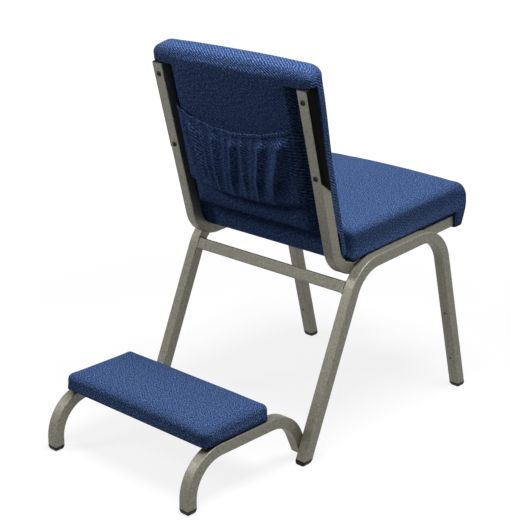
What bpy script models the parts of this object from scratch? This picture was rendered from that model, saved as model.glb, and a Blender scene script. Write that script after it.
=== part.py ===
"""Upholstered stacking chair with a prayer kneeler hinged behind its rear legs.

The frame is bent square steel tube.  Two inverted-U leg frames are welded outside two bent tubes that
are back post and seat rail in one.  The kneeler stands on its own two feet and swings up on two pivot
bolts near the rear feet of the chair, until its rails come close to the rear stretcher.

Units are metres, +Z is up, the sitter faces -Y and the kneeler is at +Y.  The origin is on the floor,
in the middle of the footprint.
"""

import math

import bmesh
import bpy
from mathutils import Vector

# Square steel tube
TUBE = 0.0250
TUBE_WALL = 0.0015
TUBE_CORNER = 0.0025

# Clearances
TOUCH_GAP = 0.0003
HOLE_CLEARANCE = 0.0003

# Leg frames and their feet
LEG_SPREAD = 0.4460
FOOT_SPAN = 0.5448
REAR_LEG_RAKE = math.radians(22.7)
FRONT_LEG_RAKE = math.radians(14.9)
REAR_SHOULDER_HEIGHT = 0.3880
LEG_BEND_RADIUS = 0.0880
GLIDE_HEIGHT = 0.0110
GLIDE_BEVEL = 0.0030
GLIDE_SHANK = 0.0120
STRETCHER_DROP = 0.0450

# Accessory holes in the rear faces of the front legs
LEG_HOLE_DIAMETER = 0.0050
LEG_HOLE_LOW = 0.0800
LEG_HOLE_HIGH = 0.1990

# Bent tubes that are back post and seat rail in one
SEAT_TILT = math.radians(3.5)
RAIL_DROP = 0.0065
RAIL_LENGTH = 0.3886
POST_BEHIND_SHOULDER = 0.0414
BACK_RECLINE = math.radians(14.7)
POST_LENGTH = 0.4091
POST_BEND_RADIUS = 0.0600
CROSSBAR_REAR_AT = 0.1150
CROSSBAR_FRONT_SETBACK = 0.0586

# Plastic plugs in open tube ends
PLUG_FLANGE = 0.0025
PLUG_SHANK = 0.0120
PLUG_BEVEL = 0.0010
PLUG_TO_BUSH = 0.0010

# Black bumper strips on the outer sides of the back posts
BUMPER_MARGIN = 0.0011
BUMPER_THICKNESS = 0.0020
BUMPER_LENGTH = 0.2150

# Cushion undersides
CUSHION_LOW_RADIUS = 0.0060
HIGH_ROUND_SHARE = 0.80
LOW_ROUND_SHARE = 0.18

# Seat
SEAT_SIDE_WRAP = 0.0105
SEAT_REAR_AT = 0.0500
SEAT_LIP_DEPTH = 0.0480
SEAT_PAD_HEIGHT = 0.0702
SEAT_CROWN = 0.0100
SEAT_SIDE_PULL = 0.0035
SEAT_EDGE_RADIUS = 0.0200
SEAT_NOSE_RADIUS = 0.0300
SEAT_LIP_DROP = 0.0300
SEAT_LIP_CLEARANCE = 0.0030
SEAT_NOSE_UNDERCUT = 0.6
SEAT_BOARD_CLEARANCE = 0.0029
SEAT_BOARD_THICKNESS = 0.0120
SEAT_BOARD_REAR_INSET = 0.0180
SEAT_BOARD_SETBACK = 0.0060
SEAT_SCREW_SPACING = 0.1700

# Backrest
BACK_FLARE = 0.0090
BACK_SIDE_WRAP = 0.0035
BACK_LOW_AT = 0.0175
BACK_PAD_THICKNESS = 0.0270
BACK_CROWN = 0.0080
BACK_EDGE_RADIUS = 0.0200
BACK_LOW_RADIUS = 0.0120
BACK_SIDE_PULL = 0.0020
BACK_END_TAPER = 1.1
BACK_STRIP_SETBACK = 0.0110
TOP_ROLL_HEIGHT = 0.0350
TOP_ROLL_RADIUS = 0.0252
TOP_ROLL_CLEARANCE = 0.0050
TOP_ROLL_REAR = 0.0015
BACK_BOARD_PAST_POST = 0.0055
BACK_BOARD_THICKNESS = 0.0090
BACK_BOARD_MARGIN = 0.0030
PANEL_CLEARANCE = 0.0099
PANEL_LOW_AT = 0.0856
PANEL_CROWN = 0.0025
PANEL_EDGE_RADIUS = 0.0180
PANEL_END_RADIUS = 0.0080
PANEL_HIDDEN_RADIUS = 0.0005

# Book pocket on the rear panel
POCKET_INSET = 0.0080
POCKET_SEAM_AT = 0.1450
POCKET_SEAM_RISE = 0.0080
POCKET_TOP_AT = 0.3285
POCKET_SAG = 0.0490
POCKET_BELLY = 0.0230
POCKET_BELLY_PEAK = 0.8
POCKET_FOLDS = 9
POCKET_FOLD_DEPTH = 0.0035
POCKET_CLOTH = 0.0018
HEM_HEIGHT = 0.0090
HEM_THICKNESS = 0.0036
HEM_SHOULDER = 0.6
HEM_ROUND = 0.25

# Back screws and their inserts
BACK_SCREW_LOW_AT = 0.2216
BACK_SCREW_FROM_TOP = 0.0245
BACK_SCREW_DIAMETER = 0.0060
BACK_SCREW_HEAD_DIAMETER = 0.0120
BACK_SCREW_HEAD_HEIGHT = 0.0034
INSERT_DIAMETER = 0.0086

# Wood screws that hold the seat and the kneeler board
WOOD_SCREW_DIAMETER = 0.0048
WOOD_SCREW_HEAD_DIAMETER = 0.0100
WOOD_SCREW_HEAD_HEIGHT = 0.0026
WOOD_SCREW_BITE = 0.0070
WOOD_SCREW_TIP_DIAMETER = 0.0015

# Kneeler frame
KNEELER_REACH = 0.3021
KNEELER_RUN_HEIGHT = 0.1097
KNEELER_REAR_BEND = 0.0820
KNEELER_ARM_BEND = 0.0840
KNEELER_ARM_RAKE = math.radians(24.4)
KNEELER_ARM_END = 0.0120
KNEELER_CROSSBAR_FROM_FOOT = 0.1250
PIVOT_HEIGHT = 0.0334

# Kneeler pad
PAD_INSET = 0.0016
PAD_DEPTH = 0.1850
PAD_FROM_FOOT = 0.0370
PAD_HEIGHT = 0.0358
PAD_CROWN = 0.0060
PAD_SIDE_PULL = 0.0025
PAD_EDGE_RADIUS = 0.0120
PAD_BOARD_THICKNESS = 0.0090
PAD_BOARD_MARGIN = 0.0050
PAD_SCREW_SPACING = 0.0900

# Pivot hardware
PIVOT_BOLT_DIAMETER = 0.0080
PIVOT_HEAD_DIAMETER = 0.0140
PIVOT_HEAD_HEIGHT = 0.0045
PIVOT_WASHER_DIAMETER = 0.0180
PIVOT_WASHER_THICKNESS = 0.0012
PIVOT_BUSH_DIAMETER = 0.0110
PIVOT_NUT_DIAMETER = 0.0145
PIVOT_NUT_HEIGHT = 0.0062
PIVOT_BOLT_SPARE = 0.0012

# Facets
BEND_STEP = math.radians(12.0)
SMOOTH_ANGLE = math.radians(35.0)
TUBE_CORNER_STEPS = 1
ROUND_SIDES = 12
SCREW_SIDES = 8
DOME_STEPS = 3
CORNER_STEPS = 3
EDGE_STEPS = 3
FACE_STEPS = 10
UNDERSIDE_STEPS = 2
CUSHION_ROWS = 5
PANEL_ROWS = 4
FOLD_STEPS = 4
POCKET_ROWS = 6

HALF_TUBE = TUBE / 2
LEG_X = LEG_SPREAD / 2
LEG_INNER_X = LEG_X - HALF_TUBE
POST_X = LEG_X - TUBE - TOUCH_GAP
KNEELER_X = LEG_INNER_X - PIVOT_WASHER_THICKNESS - 2 * TOUCH_GAP - HALF_TUBE
POST_INNER_X = POST_X - HALF_TUBE
STRETCHER_HEIGHT = REAR_SHOULDER_HEIGHT - STRETCHER_DROP
CROSSBAR_FRONT_AT = RAIL_LENGTH - CROSSBAR_FRONT_SETBACK
BUMPER_WIDTH = TUBE - 2 * BUMPER_MARGIN
SEAT_BOARD_WIDTH = 2 * (LEG_INNER_X - SEAT_BOARD_CLEARANCE)
SEAT_WIDTH = SEAT_BOARD_WIDTH + 2 * SEAT_SIDE_WRAP
SEAT_BOARD_REAR_AT = SEAT_REAR_AT + SEAT_BOARD_REAR_INSET
SEAT_LIP_AT = RAIL_LENGTH + PLUG_FLANGE + SEAT_LIP_CLEARANCE
SEAT_NOSE_AT = SEAT_LIP_AT + SEAT_LIP_DEPTH
BACK_BOARD_WIDTH = 2 * (POST_X + BACK_BOARD_PAST_POST)
BACK_LOW_WIDTH = BACK_BOARD_WIDTH + 2 * BACK_SIDE_WRAP
BACK_TOP_WIDTH = BACK_LOW_WIDTH + 2 * BACK_FLARE
PANEL_WIDTH = 2 * (POST_INNER_X - PANEL_CLEARANCE)
POCKET_WIDTH = PANEL_WIDTH - 2 * POCKET_INSET
PAD_WIDTH = 2 * (KNEELER_X + HALF_TUBE - PAD_INSET)
SIDES = {"left": 1.0, "right": -1.0}
RIGHT_TO_LEFT = Vector((1.0, 0.0, 0.0))


def slanted(angle):
    """Return the direction in the YZ plane that leans back from straight up by angle."""
    return Vector((0.0, math.sin(angle), math.cos(angle)))


def crossing(first, first_way, second, second_way):
    """Return the point in the YZ plane where two lines meet."""
    gap = second - first
    size = first_way.y * second_way.z - first_way.z * second_way.y
    reach = (gap.y * second_way.z - gap.z * second_way.y) / size
    return first + first_way * reach


# Directions and places worked out from the sizes above
REAR_LEG_WAY = slanted(-REAR_LEG_RAKE)
FRONT_LEG_WAY = slanted(FRONT_LEG_RAKE)
POST_WAY = slanted(BACK_RECLINE)
POST_FORWARD = Vector((0.0, -POST_WAY.z, POST_WAY.y))
SEAT_UP = slanted(SEAT_TILT)
SEAT_FORWARD = Vector((0.0, -SEAT_UP.z, SEAT_UP.y))
SHOULDER_FROM_FOOT = REAR_LEG_WAY * (REAR_SHOULDER_HEIGHT / REAR_LEG_WAY.z)
POST_FROM_FOOT = SHOULDER_FROM_FOOT - SEAT_FORWARD * POST_BEHIND_SHOULDER - SEAT_UP * RAIL_DROP
NOSE_LOW = SEAT_NOSE_RADIUS * SEAT_NOSE_UNDERCUT - SEAT_LIP_DROP
NOSE_FROM_FOOT = POST_FROM_FOOT + SEAT_FORWARD * SEAT_NOSE_AT + SEAT_UP * (HALF_TUBE + NOSE_LOW)
LEG_EDGE = FOOT_SPAN - GLIDE_BEVEL * math.tan(FRONT_LEG_RAKE) + HALF_TUBE / math.cos(FRONT_LEG_RAKE)
FRONT_EDGE = max(LEG_EDGE, -NOSE_FROM_FOOT.y)
REAR_EDGE = KNEELER_REACH + HALF_TUBE
REAR_FOOT = Vector((0.0, (FRONT_EDGE - REAR_EDGE) / 2, 0.0))
FRONT_FOOT = REAR_FOOT - Vector((0.0, FOOT_SPAN, 0.0))
KNEELER_FOOT = REAR_FOOT + Vector((0.0, KNEELER_REACH, 0.0))
REAR_SHOULDER = REAR_FOOT + SHOULDER_FROM_FOOT
FRONT_SHOULDER = crossing(REAR_SHOULDER, SEAT_FORWARD, FRONT_FOOT, FRONT_LEG_WAY)
POST_CORNER = REAR_FOOT + POST_FROM_FOOT
POST_TOP = POST_CORNER + POST_WAY * POST_LENGTH
RAIL_FRONT = POST_CORNER + SEAT_FORWARD * RAIL_LENGTH
SEAT_ORIGIN = POST_CORNER + SEAT_UP * HALF_TUBE
PIVOT = REAR_FOOT + REAR_LEG_WAY * (PIVOT_HEIGHT / REAR_LEG_WAY.z)
ARM_WAY = slanted(KNEELER_ARM_RAKE)
ARM_TOP = PIVOT + ARM_WAY * ((KNEELER_RUN_HEIGHT - PIVOT_HEIGHT) / ARM_WAY.z)
ARM_END = PIVOT - ARM_WAY * KNEELER_ARM_END
ARM_PLUG_SHANK = KNEELER_ARM_END - PIVOT_BUSH_DIAMETER / 2 - PLUG_TO_BUSH
KNEELER_SHOULDER = KNEELER_FOOT + Vector((0.0, 0.0, KNEELER_RUN_HEIGHT))
PAD_REAR_Y = KNEELER_FOOT.y - PAD_FROM_FOOT
RAIL_TOP_Z = KNEELER_RUN_HEIGHT + HALF_TUBE
STRETCHER_AT = REAR_FOOT + REAR_LEG_WAY * (STRETCHER_HEIGHT / REAR_LEG_WAY.z)
BACK_SCREW_PLACES = {"lower": BACK_SCREW_LOW_AT, "upper": POST_LENGTH - BACK_SCREW_FROM_TOP}
BACK_BOARD_LOW_AT = PANEL_LOW_AT + BACK_BOARD_MARGIN
LEDGE_AT = POST_LENGTH + PLUG_FLANGE + TOP_ROLL_CLEARANCE
BACK_REAR_N = HALF_TUBE + TOUCH_GAP
BACK_FRONT_N = BACK_REAR_N + BACK_BOARD_THICKNESS + BACK_PAD_THICKNESS
PANEL_DEPTH = TUBE


def make_finish(name, colour, roughness, metallic=0.0):
    """Return a new surface finish with one colour."""
    material = bpy.data.materials.new(name)
    material.use_nodes = True
    shader = material.node_tree.nodes["Principled BSDF"]
    shader.inputs["Base Color"].default_value = (*colour, 1.0)
    shader.inputs["Roughness"].default_value = roughness
    shader.inputs["Metallic"].default_value = metallic
    return material


def add_part(name, body, finish, origin, parent=None):
    """Link a closed body as a named object whose own origin is at the given place."""
    bmesh.ops.recalc_face_normals(body, faces=body.faces)
    bmesh.ops.translate(body, verts=body.verts, vec=-origin)
    mesh = bpy.data.meshes.new(name)
    body.to_mesh(mesh)
    body.free()
    mesh.shade_smooth()
    mesh.set_sharp_from_angle(angle=SMOOTH_ANGLE)
    mesh.materials.append(finish)
    part = bpy.data.objects.new(name, mesh)
    bpy.context.scene.collection.objects.link(part)
    part.location = origin
    if parent is not None:
        part.parent = parent
        part.location = origin - parent.location
    return part


def cut_out(part, cutter_body, origin):
    """Cut a closed body out of a part."""
    cutter = add_part("cut_" + part.name, cutter_body, part.data.materials[0], origin)
    cutter.hide_render = True
    cutter.display_type = "WIRE"
    if part.parent is not None:
        cutter.parent = part.parent
        cutter.location = origin - part.parent.location
    cut = part.modifiers.new("holes", "BOOLEAN")
    cut.operation = "DIFFERENCE"
    cut.solver = "EXACT"
    cut.object = cutter


def add_wall(body, near, far):
    """Join two rings of vertices with a band of faces."""
    count = len(near)
    for index in range(count):
        after = (index + 1) % count
        body.faces.new((near[index], near[after], far[after], far[index]))


def add_loft(body, rings):
    """Add a solid through rings of points, capped at both ends."""
    loops = [[body.verts.new(point) for point in ring] for ring in rings]
    for near, far in zip(loops, loops[1:]):
        add_wall(body, near, far)
    body.faces.new(loops[0][::-1])
    body.faces.new(loops[-1])


def add_turned(body, base, way, profile, sides, hollow=False):
    """Add a turned solid: profile holds (distance along way, radius), and a hollow one closes on itself."""
    turn = way.to_track_quat("Z", "X").to_matrix()
    loops = []
    for distance, radius in profile:
        ring = []
        for index in range(sides):
            angle = 2 * math.pi * (index + 0.5) / sides
            spoke = Vector((math.cos(angle) * radius, math.sin(angle) * radius, distance))
            ring.append(body.verts.new(base + turn @ spoke))
        loops.append(ring)
    for near, far in zip(loops, loops[1:]):
        add_wall(body, near, far)
    if hollow:
        add_wall(body, loops[-1], loops[0])
    else:
        body.faces.new(loops[0][::-1])
        body.faces.new(loops[-1])


def rounded_square(half_u, half_v, radius, steps):
    """Return points of a rectangle with round corners, counter-clockwise."""
    points = []
    for turn, (sign_u, sign_v) in enumerate(((1, 1), (-1, 1), (-1, -1), (1, -1))):
        for step in range(steps + 1):
            angle = math.pi / 2 * (turn + step / steps)
            u = sign_u * (half_u - radius) + radius * math.cos(angle)
            v = sign_v * (half_v - radius) + radius * math.sin(angle)
            points.append((u, v))
    return points


def square_ring(centre, side_way, up_way, half_u, half_v, radius):
    """Return a ring of points of a rounded rectangle in space."""
    outline = rounded_square(half_u, half_v, radius, TUBE_CORNER_STEPS)
    return [centre + side_way * u + up_way * v for u, v in outline]


def bent_path(corners, radii):
    """Return (point, direction) pairs along straight runs joined by round bends."""
    stations = [(corners[0], (corners[1] - corners[0]).normalized())]
    for index, radius in enumerate(radii):
        before, corner, after = corners[index:index + 3]
        way_in = (corner - before).normalized()
        way_out = (after - corner).normalized()
        turn = way_in.angle(way_out)
        start = corner - way_in * (radius * math.tan(turn / 2))
        inward = (way_out - way_in * way_in.dot(way_out)).normalized()
        steps = max(3, round(turn / BEND_STEP))
        for step in range(steps + 1):
            angle = turn * step / steps
            point = start + way_in * (radius * math.sin(angle))
            point += inward * (radius * (1 - math.cos(angle)))
            way = way_in * math.cos(angle) + inward * math.sin(angle)
            stations.append((point, way))
    stations.append((corners[-1], (corners[-1] - corners[-2]).normalized()))
    return stations


def bent_tube(x, corners, radii, flat_start=False, flat_end=False):
    """Return a hollow square tube bent in a plane of constant x, with level cuts where asked."""
    body = bmesh.new()
    stations = bent_path(corners, radii)
    outer_loops = []
    inner_loops = []
    for index, (point, way) in enumerate(stations):
        level = (index == 0 and flat_start) or (index == len(stations) - 1 and flat_end)
        up_way = way.cross(RIGHT_TO_LEFT)
        centre = Vector((x, point.y, point.z))
        for inset, loops in ((0.0, outer_loops), (TUBE_WALL, inner_loops)):
            half = HALF_TUBE - inset
            ring = square_ring(centre, RIGHT_TO_LEFT, up_way, half, half, TUBE_CORNER - inset)
            if level:
                ring = [spot + way * ((point.z - spot.z) / way.z) for spot in ring]
            loops.append([body.verts.new(spot) for spot in ring])
    for loops in (outer_loops, inner_loops):
        for near, far in zip(loops, loops[1:]):
            add_wall(body, near, far)
    add_wall(body, outer_loops[0], inner_loops[0])
    add_wall(body, outer_loops[-1], inner_loops[-1])
    return body


def cross_tube(centre, up_way, reach):
    """Return a straight hollow tube along X whose ends lie at plus and minus reach."""
    body = bmesh.new()
    forward = up_way.cross(RIGHT_TO_LEFT)
    loops = []
    for end, inset in ((-1, 0.0), (1, 0.0), (1, TUBE_WALL), (-1, TUBE_WALL)):
        half = HALF_TUBE - inset
        middle = centre + RIGHT_TO_LEFT * (end * reach)
        ring = square_ring(middle, forward, up_way, half, half, TUBE_CORNER - inset)
        loops.append([body.verts.new(spot) for spot in ring])
    for near, far in zip(loops, loops[1:] + loops[:1]):
        add_wall(body, near, far)
    return body


def glide(foot, way):
    """Return a foot glide: a bevelled block under the level tube end and a shank inside the tube."""
    stretch = 1.0 / way.z
    inner = HALF_TUBE - TUBE_WALL - TOUCH_GAP
    top = GLIDE_HEIGHT - TOUCH_GAP
    levels = (
        (0.0, HALF_TUBE - GLIDE_BEVEL, TUBE_CORNER),
        (GLIDE_BEVEL, HALF_TUBE, TUBE_CORNER),
        (top, HALF_TUBE, TUBE_CORNER),
        (top, inner, TUBE_CORNER - TUBE_WALL),
        (GLIDE_HEIGHT + GLIDE_SHANK, inner, TUBE_CORNER - TUBE_WALL),
    )
    body = bmesh.new()
    rings = []
    back = Vector((0.0, 1.0, 0.0))
    for height, half, radius in levels:
        centre = foot + way * (height * stretch)
        rings.append(square_ring(centre, RIGHT_TO_LEFT, back, half, half * stretch, radius))
    add_loft(body, rings)
    return body


def end_plug(tube_end, way, shank=PLUG_SHANK):
    """Return a plug for a square-cut tube end, with its flange outside and its shank inside."""
    up_way = way.cross(RIGHT_TO_LEFT)
    inner = HALF_TUBE - TUBE_WALL - TOUCH_GAP
    levels = (
        (-shank, inner, TUBE_CORNER - TUBE_WALL),
        (TOUCH_GAP, inner, TUBE_CORNER - TUBE_WALL),
        (TOUCH_GAP, HALF_TUBE, TUBE_CORNER),
        (PLUG_FLANGE - PLUG_BEVEL, HALF_TUBE, TUBE_CORNER),
        (PLUG_FLANGE, HALF_TUBE - PLUG_BEVEL, TUBE_CORNER),
    )
    body = bmesh.new()
    rings = []
    for distance, half, radius in levels:
        rings.append(square_ring(tube_end + way * distance, RIGHT_TO_LEFT, up_way, half, half, radius))
    add_loft(body, rings)
    return body


def block(origin, along, up_way, half_width, start, end, low, high):
    """Return a box centred on x = 0, set out along a slanted direction."""
    body = bmesh.new()
    rings = []
    for distance in (start, end):
        centre = origin + along * distance
        corners = ((-half_width, low), (half_width, low), (half_width, high), (-half_width, high))
        rings.append([centre + RIGHT_TO_LEFT * x + up_way * height for x, height in corners])
    add_loft(body, rings)
    return body


def crown_height(x, half_width, high, crown, radius):
    """Return the height of a crowned face with round side edges at a place across its width."""
    past = max(0.0, abs(x) - (half_width - radius))
    edge = radius - math.sqrt(max(0.0, radius * radius - past * past))
    return high - edge + crown * (1 - (x / half_width) ** 2)


def cushion_outline(half_width, low, high, crown, radius, low_radius):
    """Return the (x, height) outline of a cushion's cross-section, crowned on its high side."""
    outline = []
    for step in range(UNDERSIDE_STEPS + 1):
        outline.append(((half_width - low_radius) * (2 * step / UNDERSIDE_STEPS - 1), low))
    for step in range(1, CORNER_STEPS + 1):
        angle = math.pi / 2 * step / CORNER_STEPS
        x = half_width - low_radius + low_radius * math.sin(angle)
        outline.append((x, low + low_radius * (1 - math.cos(angle))))
    across = []
    for step in range(CORNER_STEPS):
        angle = math.pi / 2 * step / CORNER_STEPS
        across.append(half_width - radius + radius * math.cos(angle))
    inner = half_width - radius
    across += [inner * (1 - 2 * step / FACE_STEPS) for step in range(FACE_STEPS + 1)]
    across += [-x for x in reversed(across[:CORNER_STEPS])]
    outline += [(x, crown_height(x, half_width, high, crown, radius)) for x in across]
    for step in range(CORNER_STEPS, 0, -1):
        angle = math.pi / 2 * step / CORNER_STEPS
        x = half_width - low_radius + low_radius * math.sin(angle)
        outline.append((-x, low + low_radius * (1 - math.cos(angle))))
    return outline


def padded_body(origin, along, up_way, stations):
    """Return a soft body lofted through cross-sections: (distance, half_width, low, high, crown, radii)."""
    body = bmesh.new()
    rings = []
    for distance, half_width, low, high, crown, radius, low_radius in stations:
        centre = origin + along * distance
        round_high = min(radius, (high - low) * HIGH_ROUND_SHARE)
        round_low = min(low_radius, (high - low) * LOW_ROUND_SHARE)
        outline = cushion_outline(half_width, low, high, crown, round_high, round_low)
        rings.append([centre + RIGHT_TO_LEFT * x + up_way * height for x, height in outline])
    add_loft(body, rings)
    return body


def domed_head(diameter, height):
    """Return (distance, radius) pairs of a domed screw head, from its crown down to its bearing face."""
    pairs = []
    for step in range(1, DOME_STEPS + 1):
        angle = math.pi / 2 * step / DOME_STEPS
        distance = -TOUCH_GAP - (height - TOUCH_GAP) * math.cos(angle)
        pairs.append((distance, diameter / 2 * math.sin(angle)))
    return pairs


def rounded_end(radius, steps):
    """Return (distance in from the end, inset) pairs of a quarter round."""
    pairs = []
    for step in range(steps + 1):
        angle = math.pi / 2 * step / steps
        pairs.append((radius * (1 - math.cos(angle)), radius * (1 - math.sin(angle))))
    return pairs


def spaced(start, end, count):
    """Return evenly spaced values between two ends, both left out."""
    return [start + (end - start) * step / (count + 1) for step in range(1, count + 1)]


def leg_frame(name, side, finish):
    """Add one inverted-U leg frame, drilled for the accessory holes and the kneeler pivot."""
    x = side * LEG_X
    front_end = FRONT_FOOT + FRONT_LEG_WAY * (GLIDE_HEIGHT / FRONT_LEG_WAY.z)
    rear_end = REAR_FOOT + REAR_LEG_WAY * (GLIDE_HEIGHT / REAR_LEG_WAY.z)
    corners = [front_end, FRONT_SHOULDER, REAR_SHOULDER, rear_end]
    body = bent_tube(x, corners, [LEG_BEND_RADIUS, LEG_BEND_RADIUS], flat_start=True, flat_end=True)
    origin = Vector((x, REAR_SHOULDER.y, REAR_SHOULDER.z))
    leg = add_part(name, body, finish, origin)
    holes = bmesh.new()
    rearward = Vector((0.0, FRONT_LEG_WAY.z, -FRONT_LEG_WAY.y))
    for height in (LEG_HOLE_LOW, LEG_HOLE_HIGH):
        middle = FRONT_FOOT + FRONT_LEG_WAY * (height / FRONT_LEG_WAY.z) + RIGHT_TO_LEFT * x
        radius = LEG_HOLE_DIAMETER / 2
        add_turned(holes, middle, rearward, ((0.0, radius), (TUBE, radius)), SCREW_SIDES)
    radius = PIVOT_BOLT_DIAMETER / 2 + HOLE_CLEARANCE
    inward = RIGHT_TO_LEFT * -side
    add_turned(holes, PIVOT + RIGHT_TO_LEFT * x, inward, ((0.0, radius), (TUBE, radius)), ROUND_SIDES)
    cut_out(leg, holes, origin)


def post_and_rail(name, side, finish):
    """Add one bent tube: the seat rail, the bend behind the seat and the back post."""
    x = side * POST_X
    body = bent_tube(x, [RAIL_FRONT, POST_CORNER, POST_TOP], [POST_BEND_RADIUS])
    origin = Vector((x, POST_CORNER.y, POST_CORNER.z))
    tube = add_part(name, body, finish, origin)
    holes = bmesh.new()
    radius = BACK_SCREW_DIAMETER / 2 + HOLE_CLEARANCE
    for place in BACK_SCREW_PLACES.values():
        start = POST_CORNER + POST_WAY * place - POST_FORWARD * TUBE + RIGHT_TO_LEFT * x
        add_turned(holes, start, POST_FORWARD, ((0.0, radius), (2 * TUBE, radius)), SCREW_SIDES)
    radius = WOOD_SCREW_DIAMETER / 2 + HOLE_CLEARANCE
    for place in seat_screw_places().values():
        start = POST_CORNER + SEAT_FORWARD * place - SEAT_UP * TUBE + RIGHT_TO_LEFT * x
        add_turned(holes, start, SEAT_UP, ((0.0, radius), (2 * TUBE, radius)), SCREW_SIDES)
    cut_out(tube, holes, origin)


def seat_screw_places():
    """Return the distances of the seat screws along the seat rail, by name."""
    middle = (CROSSBAR_REAR_AT + CROSSBAR_FRONT_AT) / 2
    return {"rear": middle - SEAT_SCREW_SPACING / 2, "front": middle + SEAT_SCREW_SPACING / 2}


def pad_screw_places():
    """Return the Y places of the kneeler board's screws, by name."""
    middle = PAD_REAR_Y - PAD_DEPTH / 2
    return {"rear": middle + PAD_SCREW_SPACING / 2, "front": middle - PAD_SCREW_SPACING / 2}


def bumper_strip(name, side, finish):
    """Add the black strip on the outer side of one back post, round at its lower end."""
    half = BUMPER_WIDTH / 2
    low = POST_LENGTH - BUMPER_LENGTH + half
    outline = [(half, POST_LENGTH), (-half, POST_LENGTH)]
    for step in range(ROUND_SIDES // 2 + 1):
        angle = math.pi * (1 + 2 * step / ROUND_SIDES)
        outline.append((half * math.cos(angle), low + half * math.sin(angle)))
    inner = side * (POST_X + HALF_TUBE + TOUCH_GAP)
    outer = inner + side * BUMPER_THICKNESS
    rings = []
    for x in (inner, outer):
        start = POST_CORNER + RIGHT_TO_LEFT * x
        rings.append([start + POST_FORWARD * n + POST_WAY * s for n, s in outline])
    body = bmesh.new()
    add_loft(body, rings)
    add_part(name, body, finish, POST_TOP + RIGHT_TO_LEFT * inner)


def wood_screw(head_face, way, length):
    """Return a domed wood screw: head_face is where the head bears, and way is where the point goes."""
    shank = WOOD_SCREW_DIAMETER / 2
    profile = domed_head(WOOD_SCREW_HEAD_DIAMETER, WOOD_SCREW_HEAD_HEIGHT)
    profile += [(-TOUCH_GAP, shank), (length - shank, shank), (length, WOOD_SCREW_TIP_DIAMETER / 2)]
    body = bmesh.new()
    add_turned(body, head_face, way, profile, SCREW_SIDES)
    return body


def seat_parts(finishes):
    """Add the seat board, the seat cushion and the screws that hold them to the rails."""
    half_board = SEAT_BOARD_WIDTH / 2
    board_end = RAIL_LENGTH - SEAT_BOARD_SETBACK
    board_top = TOUCH_GAP + SEAT_BOARD_THICKNESS
    board_body = block(
        SEAT_ORIGIN, SEAT_FORWARD, SEAT_UP, half_board, SEAT_BOARD_REAR_AT, board_end, TOUCH_GAP, board_top
    )
    board_origin = SEAT_ORIGIN + SEAT_FORWARD * SEAT_BOARD_REAR_AT
    board = add_part("seat_board", board_body, finishes["plywood"], board_origin)
    pilots = bmesh.new()
    pilot_radius = WOOD_SCREW_DIAMETER / 2 + HOLE_CLEARANCE
    length = TUBE + TOUCH_GAP + WOOD_SCREW_BITE
    profile = ((0.0, pilot_radius), (length + HOLE_CLEARANCE, pilot_radius))
    for label, side in SIDES.items():
        for end, place in seat_screw_places().items():
            below = SEAT_ORIGIN + SEAT_FORWARD * place - SEAT_UP * TUBE + RIGHT_TO_LEFT * (side * POST_X)
            screw = wood_screw(below, SEAT_UP, length)
            add_part("seat_screw_" + end + "_" + label, screw, finishes["zinc"], below)
            add_turned(pilots, below, SEAT_UP, profile, SCREW_SIDES)
    cut_out(board, pilots, board_origin)

    stations = []
    low = RAIL_DROP + TOUCH_GAP
    lip_low = -SEAT_LIP_DROP
    length = SEAT_NOSE_AT - SEAT_REAR_AT
    round_end = rounded_end(SEAT_EDGE_RADIUS, EDGE_STEPS)
    ends = [(SEAT_REAR_AT + gap, inset, 0.0, 0.0) for gap, inset in round_end]
    rows = spaced(SEAT_REAR_AT + SEAT_EDGE_RADIUS, SEAT_LIP_AT, CUSHION_ROWS)
    middles = [(place, 0.0, 0.0, 0.0) for place in rows]
    lip = [(SEAT_LIP_AT - TOUCH_GAP, 0.0, 0.0, 0.0), (SEAT_LIP_AT, 0.0, 0.0, 1.0)]
    nose = []
    for gap, inset in reversed(rounded_end(SEAT_NOSE_RADIUS, EDGE_STEPS + 1)):
        nose.append((SEAT_NOSE_AT - gap, inset / 2, inset, 1.0))
    for place, inset, nose_inset, lip_share in ends + middles + lip + nose:
        share = (place - SEAT_REAR_AT) / length
        swell = math.sin(math.pi * min(1.0, max(0.0, share)))
        half_width = SEAT_WIDTH / 2 - inset - SEAT_SIDE_PULL * swell
        base = low + (lip_low - low) * lip_share + nose_inset * SEAT_NOSE_UNDERCUT
        high = SEAT_PAD_HEIGHT - max(inset, nose_inset)
        crown = SEAT_CROWN * math.sqrt(swell)
        stations.append((place, half_width, base, high, crown, SEAT_EDGE_RADIUS, CUSHION_LOW_RADIUS))
    cushion_body = padded_body(SEAT_ORIGIN, SEAT_FORWARD, SEAT_UP, stations)
    cushion = add_part("seat_cushion", cushion_body, finishes["fabric"], SEAT_ORIGIN)
    recess = block(
        SEAT_ORIGIN, SEAT_FORWARD, SEAT_UP, half_board + TOUCH_GAP, SEAT_BOARD_REAR_AT - TOUCH_GAP,
        board_end + TOUCH_GAP, -TUBE, board_top + TOUCH_GAP,
    )
    cut_out(cushion, recess, SEAT_ORIGIN)


def back_half_width(place):
    """Return half the backrest's width at a distance up the posts."""
    top_at = LEDGE_AT + TOP_ROLL_HEIGHT
    share = (place - BACK_LOW_AT) / (top_at - BACK_LOW_AT)
    pull = BACK_SIDE_PULL * math.sin(math.pi * min(1.0, max(0.0, share)))
    return (BACK_LOW_WIDTH + (BACK_TOP_WIDTH - BACK_LOW_WIDTH) * share) / 2 - pull


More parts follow.
